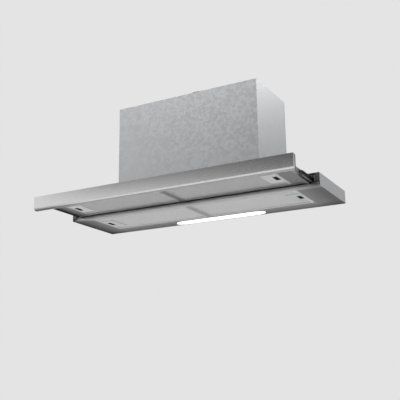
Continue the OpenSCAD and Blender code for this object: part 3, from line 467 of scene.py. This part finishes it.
def pan_steel():
    """Stainless sheet, brushed before it was folded: softer than the strip, with painted shade
    and light on its underside and right wall.
    """
    return brushed("brushed_pan_steel", colours().body, 0.34, painted_visor_shade, edge=0.4)


def bottom_steel():
    """Stainless sheet, brushed before it was folded, as the pan, with painted shade towards its
    edges and painted light at its front.
    """
    return brushed("brushed_bottom_steel", colours().body, 0.34, painted_body_shade, edge=0.4)


def cassette_steel():
    """Thin stainless sheet, brushed and deep drawn: dull, with painted shade at its inner ends
    and in the visor's row.
    """
    return brushed("brushed_cassette_steel", colours().cassette, 0.36, painted_cassette_shade)


def bright_foil():
    """Aluminium foil, the side that the rolls polished: light, with a sparkle."""
    return rolled_aluminium("bright_aluminium_foil", colours().mesh, 0.38)


def matt_foil():
    """Aluminium foil, the side that was rolled against foil: grey and dull."""
    return rolled_aluminium("matt_aluminium_foil", tone(colours().mesh, 0.45), 0.55)


def casing_zinc():
    """Galvanised sheet, dipped in zinc and cut: grey with a faint frost of crystals."""
    return galvanised("galvanised_casing", colours().zinc)


def shell_zinc():
    """The same galvanised sheet as the casing, with painted shade on its front plates."""
    return galvanised("galvanised_shell", colours().zinc, painted_front_shade)


def rail_zinc():
    """Rolled steel, zinc plated and passivated: satin grey with a hint of colour."""
    return smooth_steel("zinc_plated_rail", colours().zinc, 0.3)


def ball_steel():
    """Bearing steel, ground and polished: a sharp bright spot on each ball."""
    return smooth_steel("polished_ball_steel", linear("#D8D8DA"), 0.12)


def shaft_steel():
    """Ground steel of the motor's shaft: bright, with a soft highlight."""
    return smooth_steel("ground_shaft_steel", linear("#C8C8CA"), 0.2)


def axle_steel():
    """Cold drawn steel of the flaps' axle: dark grey and satin."""
    return smooth_steel("drawn_axle_steel", linear("#7C7D80"), 0.35)


def shaded_rail_steel():
    """Rail steel painted dark grey as painted shade: smooth and softly glossy."""
    return grained("dipped_rail_coat", linear("#4A4A4B"), 0.38, 2 * MM, 0.02 * MM)


def cap_abs():
    """Grey ABS, moulded in an eroded tool: a fine even grain with a low gloss."""
    return grained("moulded_grey_abs", colours().cap, 0.45)


def silver_abs():
    """Silver pigmented ABS, moulded smooth: pale, like metal but without its reflections."""
    return grained("moulded_silver_abs", colours().latch, 0.38)


def shaded_silver_abs():
    """Silver pigmented ABS of the body's latches: the same as the visor's, painted one shade
    greyer as painted shade.
    """
    return grained("moulded_grey_silver_abs", tone(colours().latch, 0.86), 0.38)


def dark_abs():
    """Black ABS, moulded in an eroded tool: dark and matt."""
    return grained("moulded_dark_abs", colours().moulding, 0.5)


def housing_plastic():
    """Black polypropylene of the fan housing, moulded: matt, with a soft sheen on its curve."""
    return grained("moulded_fan_housing", linear("#3A3A3C"), 0.5)


def impeller_plastic():
    """Grey glass filled plastic of the impeller, moulded: cloudy and half matt."""
    return grained("moulded_impeller", linear("#55565A"), 0.45)


def rocker_plastic():
    """Dark ABS of the rockers, moulded with a fine grain: smooth to the finger, half gloss."""
    return grained("moulded_rocker", linear("#3C3C3E"), 0.35)


def motor_lacquer():
    """Dipped lacquer of the motor: dark grey with a low gloss."""
    return grained("motor_lacquer", linear("#4A4B4E"), 0.4)


def board_laminate():
    """Green glass laminate of the control board, lacquered: a clear green half gloss."""
    return grained("board_laminate", linear("#1F5A35"), 0.35)


def board_lacquer():
    """White screened lacquer of the light's board: bright, so that it throws the light out."""
    return grained("white_board_lacquer", linear("#E8E8E6"), 0.4)


def powder_coat():
    """White powder coat of the light's tray, baked: a fine orange peel, half matt."""
    return grained("white_powder_coat", linear("#E4E4E2"), 0.5)


def diffuser_acrylic():
    """Opal acrylic, moulded and lit from behind: even and nearly white."""
    return opal("opal_acrylic", colours().light, 1.05)


def floor_paint():
    """Matt floor paint, put on with a roller: pale and nearly even."""
    return grained("matt_floor_paint", linear("#EAEAEA"), 0.8, 3 * MM, 0.02 * MM, 0.01)


# ---------------------------------------------------------------- making a piece

# Points closer than the first, in metres, are one, and a point closer to a cut than the
# second lies on it.
WELD = 1e-6
CUT = 1e-7

# Faces that turn by less than the first are one, and an edge that turns by more than the
# second is rounded.
FLAT_ANGLE = math.radians(0.5)
SHARP_ANGLE = math.radians(40)

# A screw's proportions: shares of its head's height for the dome, the depth of the cross and
# the level of the shank's top, and shares of a radius for the rest.
SCREW_SIDES = 32
DOME, CROSS_DEPTH, SHANK_LEVEL = 0.45, 0.6, 0.9
RIM, CROSS_REACH, CROSS_TAPER, POINT = 0.06, 0.6, 0.55, 0.6

# A quarter of the cross's outline: each point's distance from the middle, as a share of its
# reach. The other quarters repeat it.
CROSS_OUTLINE = (1.0, 1.0, 0.5, 0.36, 0.32, 0.36, 0.5, 1.0)

# In a plain screw, a point further out than this share of the head's radius is on its rim,
# and one further down than this share of the head's height is on its shank.
ON_RIM = 0.99
ON_SHANK = 1.5


def piece(bm, name, body, material, sharp=45):
    """Makes a finished mesh an object that rides on a body, with even shading. Edges that turn
    by more than an angle in degrees stay sharp."""
    mesh = bpy.data.meshes.new(name)
    bm.to_mesh(mesh)
    bm.free()
    for one in material if isinstance(material, list) else [material]:
        mesh.materials.append(one)
    mesh.shade_smooth()
    mesh.set_sharp_from_angle(angle=math.radians(sharp))
    made = bpy.data.objects.new(name, mesh)
    bpy.context.scene.collection.objects.link(made)
    weigh = made.modifiers.new("even", "WEIGHTED_NORMAL")
    weigh.keep_sharp = True
    weighed = made.evaluated_get(bpy.context.evaluated_depsgraph_get())
    even = bpy.data.meshes.new_from_object(weighed)
    made.modifiers.clear()
    made.data = even
    bpy.data.meshes.remove(mesh)
    even.name = name
    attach(made, body)
    return made


def body_of(node):
    """The body that a CAD node rides on."""
    return frame["nodes"][node]["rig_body"]


def welded(node):
    """The CAD node's surface with its loose triangles joined."""
    bm = bmesh.new()
    bm.from_mesh(frame["nodes"][node].data)
    bmesh.ops.remove_doubles(bm, verts=bm.verts, dist=WELD)
    return bm


def bevel(bm, edges, offset, segments):
    """Rounds the edges."""
    bmesh.ops.bevel(bm, geom=edges, offset=offset, offset_type="OFFSET", segments=segments,
                    profile=0.5, affect="EDGES", clamp_overlap=True, material=-1)


def refine(node, material, radius, segments=2):
    """A copy of a CAD node in whole faces, with its sharp edges rounded, that stands for it."""
    bm = welded(node)
    bmesh.ops.dissolve_limit(bm, angle_limit=FLAT_ANGLE, verts=bm.verts, edges=bm.edges)
    folds = [e for e in bm.edges if len(e.link_faces) == 2]
    bevel(bm, [e for e in folds if e.calc_face_angle() > SHARP_ANGLE], radius, segments)
    made = piece(bm, node + "_piece", body_of(node), material)
    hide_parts(node)
    return made


def paint(node, material):
    """Gives a CAD node whose shape is right its finish."""
    mesh = frame["nodes"][node].data
    mesh.materials.clear()
    mesh.materials.append(material)


def merge(bm, other):
    """Adds the faces of another finished bmesh and frees it."""
    kept = bpy.data.meshes.new("part")
    other.to_mesh(kept)
    other.free()
    bm.from_mesh(kept)
    bpy.data.meshes.remove(kept)


def screws(node):
    """Screws with domed heads and cross recesses in the places of a CAD node's plain ones."""
    source = welded(node)
    bm = bmesh.new()
    done = set()
    for start in source.verts:
        if start in done:
            continue
        group, border = set(), {start}
        while border:
            group |= border
            border = {e.other_vert(v) for v in border for e in v.link_edges} - group
        done |= group
        merge(bm, one_screw([v.co.copy() for v in group]))
    source.free()
    made = piece(bm, node + "_piece", body_of(node), rail_zinc(), 40)
    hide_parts(node)


def one_screw(points):
    """A screw that fills the same room as the points of a plain one."""
    low = Vector([min(p[i] for p in points) for i in range(3)])
    high = Vector([max(p[i] for p in points) for i in range(3)])
    middle = (low + high) / 2
    # The points lie on the fewest levels along the screw. Its way points towards its head.
    axis = min(range(3), key=lambda i: len({round(p[i], 5) for p in points}))
    way = Vector([1.0 if i == axis else 0.0 for i in range(3)])

    def reach(p):
        """How far a point lies from the screw's axis."""
        out = p - middle
        return (out - way * out.dot(way)).length

    head_r = max(reach(p) for p in points)
    if max(reach(p) for p in points if (p - middle).dot(way) < 0) > ON_RIM * head_r:
        way = -way
    levels = [((p - middle).dot(way), reach(p)) for p in points]
    top = max(level for level, _ in levels)
    head_h = top - min(level for level, out in levels if out > ON_RIM * head_r)
    shank_r = max(out for level, out in levels if level < top - ON_SHANK * head_h)
    turn = way.to_track_quat("Z", "Y").to_matrix().to_4x4()
    place = Matrix.Translation(middle) @ turn

    bm = bmesh.new()
    lift = Matrix.Translation((0, 0, top - head_h / 2))
    head = bmesh.ops.create_cone(bm, cap_ends=True, segments=SCREW_SIDES, radius1=head_r,
                                 radius2=head_r, depth=head_h, matrix=lift)["verts"]
    joined = dict.fromkeys(e for v in head for e in v.link_edges)
    rim = [e for e in joined if all(v.co.z > top - 10 * WELD for v in e.verts)]
    bevel(bm, rim, head_h * DOME, 4)
    rounds = [f for f in bm.faces if len(f.verts) == SCREW_SIDES]
    crown = max(rounds, key=lambda f: f.calc_center_median().z)
    bmesh.ops.inset_region(bm, faces=[crown], thickness=head_r * RIM)
    arm = max(v.co.xy.length for v in crown.verts)
    ordered = [loop.vert for loop in crown.loops]
    for index, vert in enumerate(ordered):
        share = CROSS_OUTLINE[index % len(CROSS_OUTLINE)]
        vert.co.xy = vert.co.xy * share * head_r * CROSS_REACH / arm
    sunk = bmesh.ops.extrude_discrete_faces(bm, faces=[crown])["faces"][0]
    for vert in sunk.verts:
        vert.co.xy = vert.co.xy * CROSS_TAPER
        vert.co.z -= head_h * CROSS_DEPTH
    drop = Matrix.Translation((0, 0, -head_h * SHANK_LEVEL / 2))
    bmesh.ops.create_cone(bm, cap_ends=True, segments=SCREW_SIDES // 2, radius1=shank_r * POINT,
                          radius2=shank_r, depth=2 * top - head_h * SHANK_LEVEL, matrix=drop)
    bmesh.ops.transform(bm, matrix=place, verts=bm.verts)
    return bm


# ---------------------------------------------------------------- pieces


class HOOD_OT_strip(bpy.types.Operator):
    """Front strip of brushed steel with its two end caps"""

    bl_idname = "hood.strip"
    bl_label = "Front strip"

    def execute(self, context):
        refine("front_strip", strip_steel(), sizes().strip_edge, 3)
        for side in SIDES:
            refine("strip_cap_" + side, cap_abs(), sizes().strip_edge, 3)
        return {"FINISHED"}


class HOOD_OT_visor(bpy.types.Operator):
    """Pan of the visor with its rims"""

    bl_idname = "hood.visor"
    bl_label = "Visor pan"

    def execute(self, context):
        refine("visor_frame", pan_steel(), sizes().edge)
        screws("visor_screws")
        return {"FINISHED"}


class HOOD_OT_filters(bpy.types.Operator):
    """Four grease filters: cassette, sheet of expanded mesh and folded pack"""

    bl_idname = "hood.filters"
    bl_label = "Grease filters"

    # The two ways across a filter, the radius of its creases, and the room round its latch.
    SIDEWAYS = (Vector((1, 0, 0)), Vector((0, 1, 0)))
    CREASE = 0.9 * MM
    LATCH_ROOM = Vector((0.6 * MM, 0.6 * MM, 0))

    def execute(self, context):
        foil = [bright_foil(), matt_foil()]
        for row in ROWS:
            for side in SIDES:
                refine(f"{row}_filter_frame_{side}", cassette_steel(), sizes().edge / 2)
                self.insert(row, side, foil)
        return {"FINISHED"}

    def insert(self, row, side, foil):
        """Everything inside a cassette, left open where its latch sits."""
        node = f"{row}_filter_mesh_{side}"
        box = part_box(node)
        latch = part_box(f"{row}_latch_body_{side}")
        bm = self.diamonds(box, latch)
        merge(bm, self.folds(box, latch))
        made = piece(bm, f"{row}_filter_insert_{side}", body_of(node), foil, 30)
        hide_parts(node)

    def diamonds(self, box, latch):
        """Flat sheet of expanded mesh."""
        lo, hi = box
        size = sizes()
        long, short = size.cell_long, size.cell_short
        count = math.ceil((hi.x - lo.x) / long + (hi.y - lo.y) / short) + 1
        bm = bmesh.new()
        bmesh.ops.create_grid(bm, x_segments=count, y_segments=count, size=count / 2)
        quarter = Matrix.Rotation(math.radians(45), 3, "Z")
        bmesh.ops.rotate(bm, verts=bm.verts, cent=(0, 0, 0), matrix=quarter)
        cell = (long / math.sqrt(2), short / math.sqrt(2), 1)
        bmesh.ops.scale(bm, verts=bm.verts, vec=cell)
        middle = ((lo.x + hi.x) / 2, (lo.y + hi.y) / 2, lo.z)
        bmesh.ops.translate(bm, verts=bm.verts, vec=middle)
        far = [f for f in bm.faces if not self.within(f, lo, hi, long)]
        bmesh.ops.delete(bm, geom=far, context="FACES")
        rings = bmesh.ops.inset_individual(bm, faces=bm.faces[:], thickness=size.strand / 2,
                                           use_even_offset=True)
        kept = set(rings["faces"])
        holes = [f for f in bm.faces if f not in kept]
        bmesh.ops.delete(bm, geom=holes, context="FACES")
        self.trim(bm, box)
        self.bay(bm, latch)
        bmesh.ops.solidify(bm, geom=bm.faces[:], thickness=size.foil)
        self.seat(bm, lo.z)
        return bm

    def folds(self, box, latch):
        """Zigzag pack, half a foil's thickness behind the sheet."""
        lo, hi = box
        size = sizes()
        width = hi.x - lo.x
        halves = 2 * round(width / size.fold)
        bm = bmesh.new()
        bmesh.ops.create_grid(bm, x_segments=halves, y_segments=1, size=0.5)
        bmesh.ops.scale(bm, verts=bm.verts, vec=(width, hi.y - lo.y, 1))
        middle = ((lo.x + hi.x) / 2, (lo.y + hi.y) / 2, 0)
        bmesh.ops.translate(bm, verts=bm.verts, vec=middle)
        crests = [v for v in bm.verts if round((v.co.x - lo.x) / width * halves) % 2]
        bmesh.ops.translate(bm, verts=crests, vec=(0, 0, hi.z - lo.z - 3 * size.foil))
        creases = [e for e in bm.edges if len(e.link_faces) == 2]
        bevel(bm, creases, self.CREASE, 3)
        self.bay(bm, latch)
        bmesh.ops.solidify(bm, geom=bm.faces[:], thickness=size.foil)
        self.seat(bm, lo.z + 1.5 * size.foil)
        for face in bm.faces:
            face.material_index = 1 if face.normal.z > 0 else 0
        return bm

    def within(self, face, lo, hi, reach=0):
        """Whether a face's middle lies in a box seen from above, widened by a reach."""
        middle = face.calc_center_median()
        return all(lo[i] - reach < middle[i] < hi[i] + reach for i in (0, 1))

    def trim(self, bm, box):
        """Cuts away what lies outside the box."""
        for corner, sign in zip(box, (-1, 1)):
            for axis in self.SIDEWAYS:
                every = bm.verts[:] + bm.edges[:] + bm.faces[:]
                bmesh.ops.bisect_plane(bm, geom=every, dist=CUT, plane_co=corner,
                                       plane_no=axis * sign, clear_outer=True)

    def bay(self, bm, latch):
        """Cuts a clean hole round the latch, through the faces within two folds of it."""
        lo, hi = latch[0] - self.LATCH_ROOM, latch[1] + self.LATCH_ROOM
        left, right = lo.x - 2 * sizes().fold, hi.x + 2 * sizes().fold
        for corner in (lo, hi):
            for axis in self.SIDEWAYS:
                faces = [f for f in bm.faces if any(left < v.co.x < right for v in f.verts)]
                edges = dict.fromkeys(e for f in faces for e in f.edges)
                verts = dict.fromkeys(v for f in faces for v in f.verts)
                bmesh.ops.bisect_plane(bm, geom=[*verts, *edges, *faces], dist=CUT,
                                       plane_co=corner, plane_no=axis)
        inside = [f for f in bm.faces if self.within(f, lo, hi)]
        bmesh.ops.delete(bm, geom=inside, context="FACES")

    def seat(self, bm, floor):
        """Sets the lowest point on a level."""
        bmesh.ops.recalc_face_normals(bm, faces=bm.faces)
        lowest = min(v.co.z for v in bm.verts)
        bmesh.ops.translate(bm, verts=bm.verts, vec=(0, 0, floor - lowest))


class HOOD_OT_latches(bpy.types.Operator):
    """Plates, sliders and springs of the four filter latches"""

    bl_idname = "hood.latches"
    bl_label = "Filter latches"

    # Radii of the edges, and the depth to which the silver reaches from a case's outside.
    CASE_EDGE = 0.5 * MM
    SLIDER_EDGE = 0.4 * MM
    SKIN = 0.2 * MM

    def execute(self, context):
        # The body's latch plates take a copy of the silver that is painted greyer, as painted
        # shade.
        silver = {"front": silver_abs(), "rear": shaded_silver_abs()}
        for row in ROWS:
            for side in SIDES:
                self.case(row, side, silver[row])
                refine(f"{row}_latch_slider_{side}", dark_abs(), self.SLIDER_EDGE)
                self.spring(row, side)
        return {"FINISHED"}

    def case(self, row, side, silver):
        """Case with a silver outside. Its inside and the walls of its finger slot are painted
        dark,
            as painted shade.
        """
        node = f"{row}_latch_body_{side}"
        low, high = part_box(node)
        made = refine(node, [silver, dark_abs()], self.CASE_EDGE, 3)
        for face in made.data.polygons:
            middle = face.center
            if all(low[i] + self.SKIN < middle[i] < high[i] - self.SKIN for i in range(3)):
                face.material_index = 1

    def spring(self, row, side):
        """Leaf spring with a mesh of its own. The real one flattens against the plate's wall as
        its
            slider opens.
        """
        node = f"{row}_latch_spring_{side}"
        made = refine(node, rail_zinc(), sizes().edge / 2)
        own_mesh(made)


class HOOD_OT_body(bpy.types.Operator):
    """Flat body: galvanised shell and brushed underside"""

    bl_idname = "hood.body"
    bl_label = "Flat body"

    def execute(self, context):
        refine("canopy_shell", shell_zinc(), sizes().edge)
        refine("bottom_frame", bottom_steel(), sizes().edge)
        screws("housing_screws")
        return {"FINISHED"}


class HOOD_OT_light(bpy.types.Operator):
    """Light bar with its opal diffuser, board and tray"""

    bl_idname = "hood.light"
    bl_label = "Light bar"

    DIFFUSER_EDGE = 0.8 * MM

    def execute(self, context):
        refine("led_diffuser", diffuser_acrylic(), self.DIFFUSER_EDGE, 3)
        paint("led_board", board_lacquer())
        refine("led_tray", powder_coat(), sizes().edge)
        return {"FINISHED"}


class HOOD_OT_rails(bpy.types.Operator):
    """Ball rails on both sides"""

    bl_idname = "hood.rails"
    bl_label = "Ball rails"

    def execute(self, context):
        for side in SIDES:
            refine("rail_outer_" + side, rail_zinc(), sizes().edge)
            # The inner rails are painted dark, as painted shade.
            refine("rail_inner_" + side, shaded_rail_steel(), sizes().edge)
            refine("ball_cage_" + side, rail_zinc(), sizes().edge / 2)
            paint("rail_balls_" + side, ball_steel())
        return {"FINISHED"}


class HOOD_OT_blower(bpy.types.Operator):
    """Blower box, lid, fan housing, motor and impeller"""

    bl_idname = "hood.blower"
    bl_label = "Blower"

    def execute(self, context):
        refine("blower_box", casing_zinc(), sizes().edge)
        refine("box_lid", casing_zinc(), sizes().edge)
        refine("motor_bracket", rail_zinc(), sizes().edge)
        refine("scroll_housing", housing_plastic(), sizes().edge)
        paint("impeller", impeller_plastic())
        refine("motor", motor_lacquer(), sizes().edge)
        paint("motor_shaft", shaft_steel())
        screws("fan_screws")
        return {"FINISHED"}


class HOOD_OT_collar(bpy.types.Operator):
    """Duct collar with its two non return flaps"""

    bl_idname = "hood.collar"
    bl_label = "Duct collar"

    def execute(self, context):
        for node in ("duct_collar", "flap_front", "flap_rear"):
            refine(node, dark_abs(), sizes().edge)
        paint("flap_axle", axle_steel())
        screws("collar_screws")
        return {"FINISHED"}


class HOOD_OT_electrics(bpy.types.Operator):
    """Control box, gland and the switch module"""

    bl_idname = "hood.electrics"
    bl_label = "Electrics"

    ROCKER_EDGE = 0.5 * MM

    def execute(self, context):
        refine("control_box", dark_abs(), sizes().edge)
        refine("control_board", board_laminate(), sizes().edge / 2)
        refine("cable_gland", dark_abs(), sizes().edge)
        refine("switch_housing", dark_abs(), sizes().edge)
        for node in ("fan_rocker", "light_rocker"):
            refine(node, rocker_plastic(), self.ROCKER_EDGE, 3)
        return {"FINISHED"}


# ---------------------------------------------------------------- stage

# Sizes and places on the stage are in metres.
FLOOR_RADIUS = 7.0
FLOOR_LEVEL = -0.95

# Each round light: its name, its place, its width, and its power in watts.
LIGHTS = (("key", (-1.0, -1.0, 2.8), 2.6, 98), ("fill", (1.8, 2.0, 2.4), 2.4, 40))
LIGHT_AIM = (0, 0, -0.5)

# The camera was fitted to a picture of this width, with its focal length in the same pixels.
# Its shift is a share of that width, and its tilt and turn are in radians.
PICTURE_WIDTH = 400
FOCAL_PIXELS = 734.2
SENSOR_WIDTH = 36
CAMERA_SHIFT = 0.0925
CAMERA_PLACE = (1.10958, -2.10823, -0.62792)
CAMERA_TILT = 0.25975
CAMERA_TURN = 0.539703

# The room's glow by direction, as the parts of a ray's unit vector across and along the hood.
LEFT_GLOW = {1: -0.31, 2: -0.50}
FAR_LEFT_GLOW = {1: -0.545, 2: -0.66}
RIGHT_GLOW = {1: -0.02, 2: 0.30}
REAR_TO_FRONT = {1: 0.1, 2: -0.5}
LEFT_TO_RIGHT = {1: 0.05, 2: 0.6}


class HOOD_OT_stage(bpy.types.Operator):
    """Pale floor, soft studio light and the camera"""

    bl_idname = "hood.stage"
    bl_label = "Stage"

    def execute(self, context):
        scene = context.scene
        scene.view_settings.view_transform = "Standard"
        self.floor(scene)
        for name, place, width, power in LIGHTS:
            self.light(scene, name, place, width, power)
        self.world(scene)
        self.camera(scene)
        return {"FINISHED"}

    def floor(self, scene):
        """Round floor, wide enough that its edge is the horizon."""
        bm = bmesh.new()
        bmesh.ops.create_circle(bm, cap_ends=True, segments=64, radius=FLOOR_RADIUS)
        bmesh.ops.translate(bm, verts=bm.verts, vec=(0, 0, FLOOR_LEVEL))
        mesh = bpy.data.meshes.new("floor")
        bm.to_mesh(mesh)
        bm.free()
        floor = bpy.data.objects.new("floor", mesh)
        scene.collection.objects.link(floor)
        mesh.materials.append(floor_paint())

    def light(self, scene, name, place, width, power):
        """Round light that faces the hood."""
        data = bpy.data.lights.new(name, "AREA")
        data.shape = "DISK"
        data.size = width
        data.energy = power
        lamp = bpy.data.objects.new(name, data)
        lamp.location = place
        aim = Vector(LIGHT_AIM) - Vector(place)
        lamp.rotation_euler = aim.to_track_quat("-Z", "Y").to_euler()
        scene.collection.objects.link(lamp)

    def world(self, scene):
        """Soft room light, seen as plain pale grey. Towards the rear it fades from left to
        right. Towards the front it glows on the left, and less on the right."""
        world = bpy.data.worlds.new("studio")
        scene.world = world
        world.use_nodes = True
        tree = world.node_tree
        tree.nodes.clear()
        way = add_node(tree, "TexCoord").outputs["Generated"]
        across, along, _ = add_node(tree, "SeparateXYZ", {0: way}).outputs
        left = add_node(tree, "MapRange", {0: across, **LEFT_GLOW, 3: 0.03, 4: 0.58})
        far = add_node(tree, "MapRange", {0: across, **FAR_LEFT_GLOW, 3: 0.0, 4: 0.6})
        right = add_node(tree, "MapRange", {0: across, **RIGHT_GLOW, 3: 0.0, 4: 0.45})
        glow = add_node(tree, "Math", {0: left, 1: far}, operation="ADD")
        glow = add_node(tree, "Math", {0: glow, 1: right}, operation="ADD")
        front = add_node(tree, "MapRange", {0: along, **REAR_TO_FRONT, 3: 0.0, 4: 1.0},
                         interpolation_type="SMOOTHSTEP")
        fade = add_node(tree, "MapRange", {0: across, **LEFT_TO_RIGHT, 3: 0.9, 4: 0.3},
                        interpolation_type="SMOOTHSTEP")
        level = add_node(tree, "Mix", {0: front, 2: fade, 3: glow})
        lit = add_node(tree, "Background", {0: linear("#FFFFFF"), 1: level})
        plain = add_node(tree, "Background", {0: linear("#E4E4E4"), 1: 1.0})
        seen = add_node(tree, "LightPath").outputs["Is Camera Ray"]
        mixed = add_node(tree, "MixShader", {0: seen, 1: lit, 2: plain})
        add_node(tree, "OutputWorld", {"Surface": mixed})

    def camera(self, scene):
        """Camera below the hood, in front of it and to its right."""
        camera = bpy.data.cameras.new("camera")
        camera.sensor_fit = "HORIZONTAL"
        camera.sensor_width = SENSOR_WIDTH
        camera.lens = FOCAL_PIXELS / PICTURE_WIDTH * SENSOR_WIDTH
        camera.shift_x = CAMERA_SHIFT
        camera.clip_end = 60
        holder = bpy.data.objects.new("camera", camera)
        holder.location = CAMERA_PLACE
        holder.rotation_euler = (math.pi / 2 + CAMERA_TILT, 0, CAMERA_TURN)
        scene.collection.objects.link(holder)
        scene.camera = holder


# ---------------------------------------------------------------- add-on

STEPS = (HOOD_OT_strip, HOOD_OT_visor, HOOD_OT_filters, HOOD_OT_latches, HOOD_OT_body,
         HOOD_OT_light, HOOD_OT_rails, HOOD_OT_blower, HOOD_OT_collar, HOOD_OT_electrics,
         HOOD_OT_stage)


class HOOD_PT_panel(bpy.types.Panel):
    """Sizes, colours and steps of the hood"""

    bl_idname = "HOOD_PT_panel"
    bl_label = "Cooker hood"
    bl_space_type = "VIEW_3D"
    bl_region_type = "UI"
    bl_category = "Cooker hood"

    def draw(self, context):
        for group in (sizes(), colours()):
            for key in group.__annotations__:
                self.layout.prop(group, key)
        for step in STEPS:
            self.layout.operator(step.bl_idname)


CLASSES = (HoodSizes, HoodColours) + STEPS + (HOOD_PT_panel,)


def register():
    """Adds the classes and the scene's settings."""
    for one in CLASSES:
        bpy.utils.register_class(one)
    bpy.types.Scene.hood_sizes = bpy.props.PointerProperty(type=HoodSizes)
    bpy.types.Scene.hood_colours = bpy.props.PointerProperty(type=HoodColours)


def unregister():
    """Takes them away again."""
    del bpy.types.Scene.hood_colours
    del bpy.types.Scene.hood_sizes
    for one in reversed(CLASSES):
        bpy.utils.unregister_class(one)


def main():
    """Builds the hood and its stage."""
    register()
    for step in STEPS:
        group, name = step.bl_idname.split(".")
        getattr(getattr(bpy.ops, group), name)()


if __name__ == "__main__":
    main()
